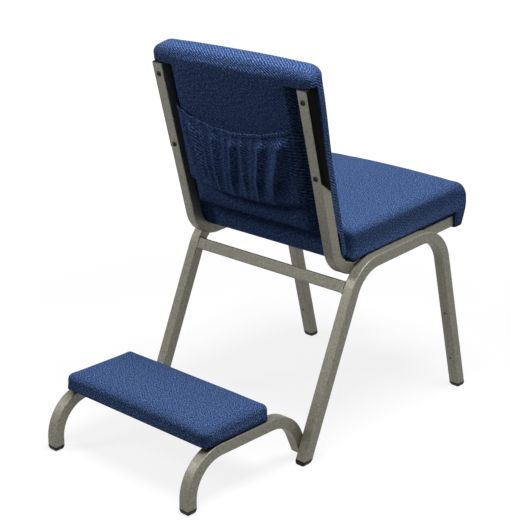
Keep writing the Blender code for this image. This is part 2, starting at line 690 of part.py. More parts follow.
def back_parts(finishes):
    """Add the back board, the cushion in front of the posts and the padded panel between them."""
    half_board = BACK_BOARD_WIDTH / 2
    board_front = BACK_REAR_N + BACK_BOARD_THICKNESS
    board_body = block(
        POST_CORNER, POST_WAY, POST_FORWARD, half_board, BACK_BOARD_LOW_AT, POST_LENGTH,
        BACK_REAR_N, board_front,
    )
    board_origin = POST_CORNER + POST_WAY * BACK_BOARD_LOW_AT
    board = add_part("back_board", board_body, finishes["plywood"], board_origin)
    seats = bmesh.new()
    insert_radius = INSERT_DIAMETER / 2
    bore_radius = BACK_SCREW_DIAMETER / 2 + HOLE_CLEARANCE
    seat_radius = insert_radius + HOLE_CLEARANCE
    insert_end = BACK_BOARD_THICKNESS - TOUCH_GAP
    shank = BACK_SCREW_DIAMETER / 2
    reach = TUBE + TOUCH_GAP + insert_end
    screw_profile = domed_head(BACK_SCREW_HEAD_DIAMETER, BACK_SCREW_HEAD_HEIGHT)
    screw_profile += [(-TOUCH_GAP, shank), (reach, shank)]
    insert_profile = (
        (0.0, bore_radius),
        (0.0, insert_radius),
        (insert_end, insert_radius),
        (insert_end, bore_radius),
    )
    seat_profile = ((-TUBE / 4, seat_radius), (TUBE, seat_radius))
    for label, side in SIDES.items():
        for end, place in BACK_SCREW_PLACES.items():
            axis = POST_CORNER + POST_WAY * place + RIGHT_TO_LEFT * (side * POST_X)
            post_face = axis - POST_FORWARD * HALF_TUBE
            board_face = axis + POST_FORWARD * BACK_REAR_N
            screw = bmesh.new()
            add_turned(screw, post_face, POST_FORWARD, screw_profile, SCREW_SIDES)
            add_part("back_screw_" + end + "_" + label, screw, finishes["black_steel"], post_face)
            insert = bmesh.new()
            add_turned(insert, board_face, POST_FORWARD, insert_profile, SCREW_SIDES, hollow=True)
            add_part("back_insert_" + end + "_" + label, insert, finishes["zinc"], board_face)
            add_turned(seats, board_face, POST_FORWARD, seat_profile, SCREW_SIDES)
    cut_out(board, seats, board_origin)

    top_at = LEDGE_AT + TOP_ROLL_HEIGHT
    strip_end = BACK_BOARD_LOW_AT - TOUCH_GAP
    strip_low = BACK_REAR_N + BACK_STRIP_SETBACK
    roll_low = -HALF_TUBE - TOP_ROLL_REAR
    round_end = rounded_end(BACK_LOW_RADIUS, EDGE_STEPS)
    levels = [(BACK_LOW_AT + gap, inset, strip_low) for gap, inset in round_end]
    levels += [(place, 0.0, strip_low) for place in spaced(BACK_LOW_AT + BACK_LOW_RADIUS, strip_end, 1)]
    levels += [(strip_end - TOUCH_GAP, 0.0, strip_low), (strip_end, 0.0, BACK_REAR_N)]
    levels += [(place, 0.0, BACK_REAR_N) for place in spaced(strip_end, LEDGE_AT, CUSHION_ROWS)]
    levels += [(LEDGE_AT, 0.0, BACK_REAR_N), (LEDGE_AT + TOUCH_GAP, 0.0, roll_low)]
    for gap, inset in reversed(rounded_end(TOP_ROLL_RADIUS, EDGE_STEPS + 1)):
        levels.append((top_at - gap, inset, roll_low))
    stations = []
    for place, inset, low in levels:
        share = (place - BACK_LOW_AT) / (top_at - BACK_LOW_AT)
        swell = math.sin(math.pi * min(1.0, max(0.0, share)))
        half_width = back_half_width(place) - inset * BACK_END_TAPER
        high = BACK_FRONT_N - inset
        stations.append(
            (place, half_width, low + inset, high, BACK_CROWN * swell, BACK_EDGE_RADIUS, CUSHION_LOW_RADIUS)
        )
    cushion_body = padded_body(POST_CORNER, POST_WAY, POST_FORWARD, stations)
    cushion = add_part("back_cushion", cushion_body, finishes["fabric"], POST_CORNER)
    recess = block(
        POST_CORNER, POST_WAY, POST_FORWARD, half_board + TOUCH_GAP, strip_end, POST_LENGTH + TOUCH_GAP,
        -HALF_TUBE, board_front + TOUCH_GAP,
    )
    cut_out(cushion, recess, POST_CORNER)

    round_end = rounded_end(PANEL_END_RADIUS, EDGE_STEPS)
    panel_levels = [(PANEL_LOW_AT + gap, inset) for gap, inset in round_end]
    rows = spaced(PANEL_LOW_AT + PANEL_END_RADIUS, LEDGE_AT, PANEL_ROWS)
    panel_levels += [(place, 0.0) for place in rows]
    panel_levels.append((LEDGE_AT - TOUCH_GAP, 0.0))
    stations = []
    for place, inset in panel_levels:
        high = PANEL_DEPTH - inset
        stations.append(
            (place, PANEL_WIDTH / 2, 0.0, high, PANEL_CROWN, PANEL_EDGE_RADIUS, PANEL_HIDDEN_RADIUS)
        )
    panel_body = padded_body(POST_CORNER + POST_FORWARD * HALF_TUBE, POST_WAY, -POST_FORWARD, stations)
    add_part("back_rear_panel", panel_body, finishes["fabric"], POST_CORNER)


def pocket_place(x, rise, lift=0.0):
    """Return a point of the pocket cloth, from its bottom seam at rise 0 to its hem at rise 1."""
    half = POCKET_WIDTH / 2
    middle = 1 - (x / half) ** 2
    seam = POCKET_SEAM_AT + POCKET_SEAM_RISE * (1 - middle)
    hem = POCKET_TOP_AT - HEM_HEIGHT - POCKET_SAG * middle
    folds = POCKET_FOLD_DEPTH * math.cos(2 * math.pi * POCKET_FOLDS * x / POCKET_WIDTH)
    swell = math.sin(math.pi / 2 * rise / POCKET_BELLY_PEAK)
    belly = middle * swell * (POCKET_BELLY + folds)
    panel = crown_height(x, PANEL_WIDTH / 2, PANEL_DEPTH, PANEL_CROWN, PANEL_EDGE_RADIUS)
    depth = panel - HALF_TUBE + TOUCH_GAP + belly
    place = seam + (hem - seam) * rise + lift
    return POST_CORNER + POST_WAY * place - POST_FORWARD * depth + RIGHT_TO_LEFT * x


def book_pocket(finishes):
    """Add the gathered book pocket and the elastic hem along its top."""
    half = POCKET_WIDTH / 2
    columns = POCKET_FOLDS * FOLD_STEPS
    across = [half * (2 * column / columns - 1) for column in range(columns + 1)]
    body = bmesh.new()
    rises = [row / POCKET_ROWS for row in range(POCKET_ROWS + 1)]
    grid = [[body.verts.new(pocket_place(x, rise)) for x in across] for rise in rises]
    for lower, upper in zip(grid, grid[1:]):
        for column in range(columns):
            body.faces.new((lower[column + 1], lower[column], upper[column], upper[column + 1]))
    pocket = add_part("book_pocket", body, finishes["fabric"], POST_CORNER)
    wall = pocket.modifiers.new("cloth", "SOLIDIFY")
    wall.thickness = POCKET_CLOTH
    wall.offset = 1.0
    wall.use_even_offset = True

    lower_half = [(0.0, 0.0), (HEM_SHOULDER, 0.0), (1.0, HEM_ROUND)]
    outline = lower_half + [(outward, 1.0 - upward) for outward, upward in reversed(lower_half)]
    rings = []
    for x in across:
        ring = []
        for outward, upward in outline:
            spot = pocket_place(x, 1.0, 2 * TOUCH_GAP + HEM_HEIGHT * upward)
            ring.append(spot - POST_FORWARD * (HEM_THICKNESS * outward))
        rings.append(ring)
    hem = bmesh.new()
    add_loft(hem, rings)
    add_part("pocket_elastic_hem", hem, finishes["fabric"], POST_CORNER)


def kneeler_rail(name, side, finish, hinge):
    """Add one kneeler rail: the rear foot, the level run and the arm down to the pivot."""
    x = side * KNEELER_X
    foot_end = KNEELER_FOOT + Vector((0.0, 0.0, GLIDE_HEIGHT))
    corners = [foot_end, KNEELER_SHOULDER, ARM_TOP, ARM_END]
    body = bent_tube(x, corners, [KNEELER_REAR_BEND, KNEELER_ARM_BEND], flat_start=True)
    origin = Vector((x, PIVOT.y, PIVOT.z))
    rail = add_part(name, body, finish, origin, hinge)
    holes = bmesh.new()
    radius = PIVOT_BUSH_DIAMETER / 2 + HOLE_CLEARANCE
    start = Vector((x - TUBE, PIVOT.y, PIVOT.z))
    add_turned(holes, start, RIGHT_TO_LEFT, ((0.0, radius), (2 * TUBE, radius)), ROUND_SIDES)
    radius = WOOD_SCREW_DIAMETER / 2 + HOLE_CLEARANCE
    for y in pad_screw_places().values():
        start = Vector((x, y, KNEELER_RUN_HEIGHT - TUBE))
        add_turned(holes, start, Vector((0.0, 0.0, 1.0)), ((0.0, radius), (2 * TUBE, radius)), SCREW_SIDES)
    cut_out(rail, holes, origin)


def kneeler_pad(finishes, hinge):
    """Add the kneeler board, the pad that wraps it and the screws that hold them to the rails."""
    forward = Vector((0.0, -1.0, 0.0))
    up_way = Vector((0.0, 0.0, 1.0))
    base = Vector((0.0, PAD_REAR_Y, RAIL_TOP_Z))
    half_board = PAD_WIDTH / 2 - PAD_BOARD_MARGIN
    board_ends = (PAD_BOARD_MARGIN, PAD_DEPTH - PAD_BOARD_MARGIN)
    board_top = TOUCH_GAP + PAD_BOARD_THICKNESS
    board_body = block(base, forward, up_way, half_board, *board_ends, TOUCH_GAP, board_top)
    board = add_part("kneeler_board", board_body, finishes["plywood"], base, hinge)
    pilots = bmesh.new()
    pilot_radius = WOOD_SCREW_DIAMETER / 2 + HOLE_CLEARANCE
    length = TUBE + TOUCH_GAP + WOOD_SCREW_BITE
    profile = ((0.0, pilot_radius), (length + HOLE_CLEARANCE, pilot_radius))
    for label, side in SIDES.items():
        for end, y in pad_screw_places().items():
            below = Vector((side * KNEELER_X, y, RAIL_TOP_Z - TUBE))
            screw = wood_screw(below, up_way, length)
            add_part("kneeler_screw_" + end + "_" + label, screw, finishes["zinc"], below, hinge)
            add_turned(pilots, below, up_way, profile, SCREW_SIDES)
    cut_out(board, pilots, base)

    stations = []
    round_ends = rounded_end(PAD_EDGE_RADIUS, EDGE_STEPS)
    levels = list(round_ends)
    levels += [(place, 0.0) for place in spaced(PAD_EDGE_RADIUS, PAD_DEPTH - PAD_EDGE_RADIUS, PANEL_ROWS)]
    levels += [(PAD_DEPTH - gap, inset) for gap, inset in reversed(round_ends)]
    for place, inset in levels:
        swell = math.sin(math.pi * min(1.0, max(0.0, place / PAD_DEPTH)))
        half_width = PAD_WIDTH / 2 - inset - PAD_SIDE_PULL * swell
        stations.append(
            (place, half_width, TOUCH_GAP + inset / 2, PAD_HEIGHT - inset, PAD_CROWN * math.sqrt(swell),
             PAD_EDGE_RADIUS, CUSHION_LOW_RADIUS)
        )
    pad_body = padded_body(base, forward, up_way, stations)
    pad = add_part("kneeler_pad", pad_body, finishes["fabric"], base, hinge)
    recess = block(
        base, forward, up_way, half_board + TOUCH_GAP, board_ends[0] - TOUCH_GAP, board_ends[1] + TOUCH_GAP,
        -TUBE, board_top + TOUCH_GAP,
    )
    cut_out(pad, recess, base)


def pivot_hardware(label, side, finishes, hinge):
    """Add one pivot: the bolt, the washer, the weld nut in the leg and the bush in the kneeler rail."""
    inward = RIGHT_TO_LEFT * -side
    outward = RIGHT_TO_LEFT * side
    rail_inner = PIVOT + outward * (KNEELER_X - HALF_TUBE)
    leg_face = PIVOT + outward * LEG_INNER_X
    bolt_radius = PIVOT_BOLT_DIAMETER / 2
    bore_radius = bolt_radius + HOLE_CLEARANCE
    bolt_length = LEG_INNER_X - KNEELER_X + HALF_TUBE + TUBE_WALL + PIVOT_NUT_HEIGHT + PIVOT_BOLT_SPARE
    bolt_profile = domed_head(PIVOT_HEAD_DIAMETER, PIVOT_HEAD_HEIGHT)
    bolt_profile += [(-TOUCH_GAP, bolt_radius), (bolt_length, bolt_radius)]
    bolt = bmesh.new()
    add_turned(bolt, rail_inner, outward, bolt_profile, ROUND_SIDES)
    add_part("pivot_bolt_" + label, bolt, finishes["zinc"], PIVOT)

    def sleeve(start, way, length, radius, sides):
        profile = ((0.0, bore_radius), (0.0, radius), (length, radius), (length, bore_radius))
        body = bmesh.new()
        add_turned(body, start, way, profile, sides, hollow=True)
        return body

    washer_start = leg_face + inward * TOUCH_GAP
    washer_radius = PIVOT_WASHER_DIAMETER / 2
    washer = sleeve(washer_start, inward, PIVOT_WASHER_THICKNESS, washer_radius, ROUND_SIDES)
    add_part("pivot_washer_" + label, washer, finishes["nylon"], PIVOT)
    nut_start = leg_face + outward * (TUBE_WALL + TOUCH_GAP)
    nut = sleeve(nut_start, outward, PIVOT_NUT_HEIGHT, PIVOT_NUT_DIAMETER / 2, ROUND_SIDES)
    add_part("pivot_weld_nut_" + label, nut, finishes["zinc"], PIVOT)
    bush = sleeve(rail_inner, outward, TUBE, PIVOT_BUSH_DIAMETER / 2, ROUND_SIDES)
    add_part("pivot_bush_" + label, bush, finishes["nylon"], PIVOT, hinge)


def main():
    """Build the chair and its kneeler."""
    for item in list(bpy.data.objects):
        bpy.data.objects.remove(item, do_unlink=True)
    finishes = {
        "frame": make_finish("vein_powder_coat", (0.27, 0.25, 0.20), 0.42, 0.55),
        "fabric": make_finish("blue_twill_fabric", (0.018, 0.046, 0.165), 0.92),
        "black_plastic": make_finish("black_plastic", (0.012, 0.012, 0.013), 0.45),
        "black_steel": make_finish("blackened_steel", (0.015, 0.015, 0.016), 0.38, 0.8),
        "plywood": make_finish("plywood", (0.50, 0.34, 0.19), 0.70),
        "zinc": make_finish("zinc_plated_steel", (0.60, 0.60, 0.62), 0.30, 1.0),
        "nylon": make_finish("natural_nylon", (0.75, 0.74, 0.69), 0.50),
    }
    hinge = bpy.data.objects.new("kneeler_hinge", None)
    hinge.location = PIVOT
    bpy.context.scene.collection.objects.link(hinge)
    frame = finishes["frame"]
    plastic = finishes["black_plastic"]

    for label, side in SIDES.items():
        across = RIGHT_TO_LEFT * side
        leg_frame("leg_frame_" + label, side, frame)
        post_and_rail("back_post_seat_rail_" + label, side, frame)
        add_part("post_cap_" + label, end_plug(POST_TOP + across * POST_X, POST_WAY), plastic, POST_TOP)
        rail_end = RAIL_FRONT + across * POST_X
        add_part("seat_rail_plug_" + label, end_plug(rail_end, SEAT_FORWARD), plastic, RAIL_FRONT)
        front_glide = glide(FRONT_FOOT + across * LEG_X, FRONT_LEG_WAY)
        add_part("front_glide_" + label, front_glide, plastic, FRONT_FOOT)
        rear_glide = glide(REAR_FOOT + across * LEG_X, REAR_LEG_WAY)
        add_part("rear_glide_" + label, rear_glide, plastic, REAR_FOOT)
        bumper_strip("post_bumper_" + label, side, plastic)

        kneeler_rail("kneeler_rail_" + label, side, frame, hinge)
        foot = KNEELER_FOOT + across * KNEELER_X
        foot_glide = glide(foot, Vector((0.0, 0.0, 1.0)))
        add_part("kneeler_glide_" + label, foot_glide, plastic, KNEELER_FOOT, hinge)
        arm_plug = end_plug(ARM_END + across * KNEELER_X, -ARM_WAY, ARM_PLUG_SHANK)
        add_part("kneeler_arm_plug_" + label, arm_plug, plastic, ARM_END, hinge)
        pivot_hardware(label, side, finishes, hinge)

    leg_gap = LEG_INNER_X - TOUCH_GAP
    rail_gap = POST_INNER_X - TOUCH_GAP
    add_part("rear_stretcher", cross_tube(STRETCHER_AT, REAR_LEG_WAY, leg_gap), frame, STRETCHER_AT)
    for label, place in (("rear", CROSSBAR_REAR_AT), ("front", CROSSBAR_FRONT_AT)):
        centre = POST_CORNER + SEAT_FORWARD * place
        add_part("seat_crossbar_" + label, cross_tube(centre, SEAT_UP, rail_gap), frame, centre)
    centre = KNEELER_SHOULDER - Vector((0.0, KNEELER_CROSSBAR_FROM_FOOT, 0.0))
    crossbar = cross_tube(centre, Vector((0.0, 0.0, 1.0)), KNEELER_X - HALF_TUBE - TOUCH_GAP)
    add_part("kneeler_crossbar", crossbar, frame, centre, hinge)

    seat_parts(finishes)
    back_parts(finishes)
    book_pocket(finishes)
    kneeler_pad(finishes, hinge)


main()
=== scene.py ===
"""Dressed model of an upholstered stacking chair with a prayer kneeler hinged behind its rear legs.

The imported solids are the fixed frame.  Each sub-assembly below is a class that works out its surfaces with
numpy, puts them into meshes and dresses them with the finish of the real material.  Lengths are in metres,
+Z is up, the sitter faces -Y and the kneeler is at +Y.
"""

import logging
import math
from dataclasses import dataclass, field
from enum import Enum

import bmesh
import bpy
import numpy as np
from mathutils import Matrix, Vector


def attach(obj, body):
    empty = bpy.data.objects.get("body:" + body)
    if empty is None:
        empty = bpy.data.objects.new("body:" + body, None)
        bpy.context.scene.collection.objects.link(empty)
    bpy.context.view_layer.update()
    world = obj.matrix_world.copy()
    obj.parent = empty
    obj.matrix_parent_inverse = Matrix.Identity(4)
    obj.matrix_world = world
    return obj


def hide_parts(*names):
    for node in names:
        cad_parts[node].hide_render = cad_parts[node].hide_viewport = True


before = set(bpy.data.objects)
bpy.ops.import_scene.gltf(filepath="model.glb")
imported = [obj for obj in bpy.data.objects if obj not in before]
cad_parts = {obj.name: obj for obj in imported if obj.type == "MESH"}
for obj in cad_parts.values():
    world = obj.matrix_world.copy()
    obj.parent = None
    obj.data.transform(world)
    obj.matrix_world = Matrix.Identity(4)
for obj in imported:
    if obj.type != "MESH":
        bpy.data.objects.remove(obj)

Tree = bpy.types.NodeTree
Socket = bpy.types.NodeSocket
Piece = bpy.types.Object

LOG = logging.getLogger("chair")
X_WAY = np.array([1.0, 0.0, 0.0])
Y_WAY = np.array([0.0, 1.0, 0.0])
Z_WAY = np.array([0.0, 0.0, 1.0])
SIDES = {"left": 1.0, "right": -1.0}
WEAVE_MAP = "weave"
SHARP_ANGLE = math.radians(40.0)
WHITE = "#FFFFFF"


class Body(Enum):
    """The bodies that a piece can move with."""

    CHAIR = "chair"
    KNEELER = "kneeler"


class Slot(Enum):
    """The material slots of the part."""

    FRAME = "frame"
    FABRIC = "fabric"
    BLACK_PLASTIC = "black_plastic"
    BLACK_STEEL = "black_steel"
    PLYWOOD = "plywood"
    ZINC = "zinc"
    NYLON = "nylon"


# Small vector and mesh helpers


def unit(vector: np.ndarray) -> np.ndarray:
    """Return vectors scaled to length 1 along their last axis."""
    return vector / np.linalg.norm(vector, axis=-1, keepdims=True)


def slanted(angle: float) -> np.ndarray:
    """Return the direction in the YZ plane that leans back from straight up by angle."""
    return np.array([0.0, math.sin(angle), math.cos(angle)])


def smooth_step(value: np.ndarray, low: float, high: float) -> np.ndarray:
    """Return 0 below low, 1 above high and an S-shaped rise between them."""
    share = np.clip((value - low) / (high - low), 0.0, 1.0)
    return share * share * (3.0 - 2.0 * share)


@dataclass(frozen=True)
class Axes:
    """A local frame: an origin and three unit directions, for places across, along and out of a piece."""

    origin: np.ndarray
    across: np.ndarray
    along: np.ndarray
    out: np.ndarray

    def place(self, local: np.ndarray) -> np.ndarray:
        """Return local points in the part's frame."""
        return self.origin + local @ np.stack([self.across, self.along, self.out])


@dataclass
class Surface:
    """A surface: its points, its faces as lists of point numbers, and a weave place for each face corner."""

    points: np.ndarray
    faces: list[list[int]]
    corner_uv: np.ndarray | None = None

    def piece(self, name: str) -> Piece:
        """Make an object of the surface, with outward faces and smooth shading up to the sharp angle.

        Args:
            name: The new object's name.

        Returns:
            The object, at the origin, with its place in its mesh.
        """
        mesh = bpy.data.meshes.new(name)
        mesh.from_pydata(self.points.tolist(), [], self.faces)
        if self.corner_uv is not None:
            layer = mesh.uv_layers.new(name=WEAVE_MAP)
            layer.uv.foreach_set("vector", self.corner_uv.astype(np.float32).ravel())
        work = bmesh.new()
        work.from_mesh(mesh)
        bmesh.ops.recalc_face_normals(work, faces=work.faces)
        work.to_mesh(mesh)
        work.free()
        mesh.shade_smooth()
        mesh.set_sharp_from_angle(angle=SHARP_ANGLE)
        made = bpy.data.objects.new(name, mesh)
        bpy.context.scene.collection.objects.link(made)
        return made


def merged(parts: list[Surface]) -> Surface:
    """Return several surfaces as one."""
    starts = np.cumsum([0] + [len(part.points) for part in parts]).tolist()
    faces = [[start + index for index in face] for start, part in zip(starts, parts) for face in part.faces]
    return Surface(np.concatenate([part.points for part in parts]), faces)


def grid_faces(rows: int, columns: int, wrap_rows: bool = False, wrap_columns: bool = False) -> np.ndarray:
    """Return the four-sided faces of a grid whose points are numbered row by row.

    Args:
        rows: Number of rows of points.
        columns: Number of points in a row.
        wrap_rows: Whether the last row joins the first.
        wrap_columns: Whether the last point of a row joins its first.

    Returns:
        Point numbers, four to a face.
    """
    row, column = np.meshgrid(
        np.arange(rows if wrap_rows else rows - 1), np.arange(columns if wrap_columns else columns - 1), indexing="ij"
    )
    after, beside = (row + 1) % rows, (column + 1) % columns
    corners = [row * columns + column, row * columns + beside, after * columns + beside, after * columns + column]
    return np.stack(corners, axis=-1).reshape(-1, 4)


def lofted(rings: np.ndarray) -> Surface:
    """Return a closed body through rings of points, capped at both ends.

    Args:
        rings: Points by ring, place in the ring and coordinate.

    Returns:
        The closed surface.
    """
    count, around, _ = rings.shape
    faces = grid_faces(count, around, wrap_columns=True).tolist()
    last = (count - 1) * around
    faces.append(list(range(around))[::-1])
    faces.append(list(range(last, last + around)))
    return Surface(rings.reshape(-1, 3), faces)


def rounded_square(half_u: float, half_v: float, radius: float, steps: int = 5, hold: float = 0.0007) -> np.ndarray:
    """Return the outline of a rounded rectangle, with points close to each arc that hold its sides flat.

    Each corner is a quarter circle about a centre that lies the radius in from both sides.
    """
    angles = np.linspace(0.0, math.pi / 2, steps + 1)
    arc = radius * np.stack([np.cos(angles), np.sin(angles)], axis=-1)
    corner = np.concatenate([[[radius, -hold]], arc, [[-hold, radius]]])
    corners = []
    for turn, (sign_u, sign_v) in enumerate(((1, 1), (-1, 1), (-1, -1), (1, -1))):
        cosine, sine = round(math.cos(turn * math.pi / 2)), round(math.sin(turn * math.pi / 2))
        turned_arc = corner @ np.array([[cosine, sine], [-sine, cosine]])
        corners.append(turned_arc + [sign_u * (half_u - radius), sign_v * (half_v - radius)])
    return np.concatenate(corners)


def bent_path(corners: list[np.ndarray], radii: list[float], step: float = math.radians(3.0)) -> np.ndarray:
    """Return a path of straight runs with an arc at each inner corner.

    An arc of radius r touches both runs at r / tan(half the angle between them) from the corner.

    Args:
        corners: The path's ends and corners, in order.
        radii: The bend radius at each inner corner.
        step: The angle between points on a bend.

    Returns:
        Points along the path.
    """
    parts = [corners[0][None]]
    for before, corner, after, radius in zip(corners, corners[1:], corners[2:], radii):
        back, ahead = unit(before - corner), unit(after - corner)
        half = math.acos(float(back @ ahead)) / 2
        turn = math.pi - 2 * half
        centre = corner + unit(back + ahead) * (radius / math.sin(half))
        start = corner + back * (radius / math.tan(half)) - centre
        angles = np.linspace(0.0, turn, max(3, math.ceil(turn / step)) + 1)[:, None]
        parts.append(centre + start * np.cos(angles) - back * radius * np.sin(angles))
    parts.append(corners[-1][None])
    return np.concatenate(parts)


def swept(path: np.ndarray, side: np.ndarray, profile: np.ndarray) -> np.ndarray:
    """Return rings of a profile carried along a path that lies square to side.

    Each ring is the path's point plus u times side plus v times the normal, on the plane that halves the bend.

    Args:
        path: Points along the path.
        side: Unit direction of the profile's u, square to the path.
        profile: Points (u, v) of the outline.

    Returns:
        Rings of points, one for each point of the path.
    """
    runs = unit(np.diff(path, axis=0))
    ways = unit(np.concatenate([runs[:1], runs[:-1] + runs[1:], runs[-1:]]))
    normals = np.cross(ways, side)
    return path[:, None] + profile[None, :, :1] * side + profile[None, :, 1:] * normals[:, None]


def cut_level(rings: np.ndarray, ring: int, height: float) -> None:
    """Slide one end ring's points along the tube until all of them are at a height."""
    way = unit(rings[ring].mean(axis=0) - rings[ring + 1 if ring == 0 else ring - 1].mean(axis=0))
    rings[ring] += way * ((height - rings[ring, :, 2:]) / way[2])


def turned(base: np.ndarray, way: np.ndarray, profile: np.ndarray, sides: int = 36) -> Surface:
    """Return a turned body: each (distance, radius, hex share) of the profile is a ring about the axis.

    A ring with a hex share of 1 is a hexagon whose flats are the radius from the axis.

    Args:
        base: The axis' start.
        way: The axis' unit direction.
        profile: Rows of distance along the axis, radius and hex share.
        sides: Points around the axis.

    Returns:
        The closed surface.
    """
    first = unit(np.cross(way, Y_WAY + 0.3 * X_WAY + 0.1 * Z_WAY))
    second = np.cross(way, first)
    angles = np.linspace(0.0, 2 * math.pi, sides, endpoint=False)
    hexagon = 1.0 / np.cos(np.mod(angles, math.pi / 3) - math.pi / 6)
    distance, radius, hexed = (profile[:, column, None] for column in range(3))
    reach = radius * (1.0 + hexed * (hexagon - 1.0))
    flat = reach[..., None] * (np.cos(angles)[:, None] * first + np.sin(angles)[:, None] * second)
    return lofted(base + distance[..., None] * way + flat)


# Finishes


def linear(hex_colour: str, alpha: float = 1.0) -> tuple[float, float, float, float]:
    """Return an sRGB hex colour as linear red, green, blue and alpha."""
    parts = [int(hex_colour[start:start + 2], 16) / 255 for start in (1, 3, 5)]
    levels = [part / 12.92 if part <= 0.04045 else ((part + 0.055) / 1.055) ** 2.4 for part in parts]
    return (*levels, alpha)


def add_node(tree: Tree, kind: str, settings: dict | None = None, inputs: dict | None = None) -> bpy.types.Node:
    """Add a node, with its settings, and give each named input a value or a link.

    Args:
        tree: The node tree.
        kind: The node's type name.
        settings: Properties of the node by name.
        inputs: Values or output sockets, by the input's name or number.

    Returns:
        The new node.
    """
    node = tree.nodes.new(kind)
    for name, value in (settings or {}).items():
        setattr(node, name, value)
    for name, value in (inputs or {}).items():
        if isinstance(value, Socket):
            tree.links.new(value, node.inputs[name])
        else:
            node.inputs[name].default_value = value
    return node


def object_place(tree: Tree) -> Socket:
    """Return the place on the object, in metres."""
    return add_node(tree, "ShaderNodeTexCoord").outputs["Object"]


def calc(tree: Tree, operation: str, *values: float | Socket) -> Socket:
    """Return the result of a Math node on numbers or sockets."""
    return add_node(tree, "ShaderNodeMath", {"operation": operation}, dict(enumerate(values))).outputs[0]


def noise(tree: Tree, place: Socket, size: float, **values: float) -> Socket:
    """Return a noise whose features have a size in metres, with its other inputs by name."""
    named = {name.title(): value for name, value in values.items()}
    return add_node(tree, "ShaderNodeTexNoise", inputs={"Vector": place, "Scale": 1 / size, **named}).outputs["Fac"]


def mapped(
    tree: Tree, value: Socket, to: tuple[float, float], since: tuple[float, float] = (0.0, 1.0), kind: str = "LINEAR"
) -> Socket:
    """Return a value carried from one range to another, and held to it."""
    ends = {"Value": value, "From Min": since[0], "From Max": since[1], "To Min": to[0], "To Max": to[1]}
    return add_node(tree, "ShaderNodeMapRange", {"interpolation_type": kind}, ends).outputs[0]


def mixed_colour(tree: Tree, share: Socket, first: str, second: str) -> Socket:
    """Return two sRGB hex colours mixed by a share."""
    colours = {0: share, 6: linear(first), 7: linear(second)}
    return add_node(tree, "ShaderNodeMix", {"data_type": "RGBA"}, colours).outputs[2]


@dataclass(frozen=True)
class Finish:
    """A finish: its name, its slot and the shader values that are the same all over it."""

    name: str
    slot: Slot
    roughness: float = 0.5
    metallic: float = 0.0
    specular: float = 0.5

    def material(self) -> bpy.types.Material:
        """Return the finish's material, made when it is first asked for."""
        made = bpy.data.materials.get(self.name)
        if made is None:
            made = bpy.data.materials.new(self.name)
            made.use_nodes = True
            shader = made.node_tree.nodes["Principled BSDF"]
            shader.inputs["Roughness"].default_value = self.roughness
            shader.inputs["Metallic"].default_value = self.metallic
            shader.inputs["Specular IOR Level"].default_value = self.specular
            self.draw(made.node_tree, shader)
        return made

    def draw(self, tree: Tree, shader: bpy.types.Node) -> None:
        """Add the nodes of the finish's pattern, which each kind of finish does in its own way."""
        raise NotImplementedError

    def link(
        self, tree: Tree, shader: bpy.types.Node, colour: Socket, height: Socket, relief: tuple[float, float],
        gloss: Socket | None = None,
    ) -> None:
        """Link a pattern to the shader.

        Args:
            tree: The node tree.
            shader: The shader node.
            colour: The pattern's colour.
            height: The pattern's height.
            relief: The bump's strength, and its height in metres.
            gloss: The roughness, where it varies.
        """
        bump = add_node(
            tree, "ShaderNodeBump", inputs={"Height": height, "Strength": relief[0], "Distance": relief[1]}
        )
        tree.links.new(colour, shader.inputs["Base Color"])
        tree.links.new(bump.outputs["Normal"], shader.inputs["Normal"])
        if gloss is not None:
            tree.links.new(gloss, shader.inputs["Roughness"])


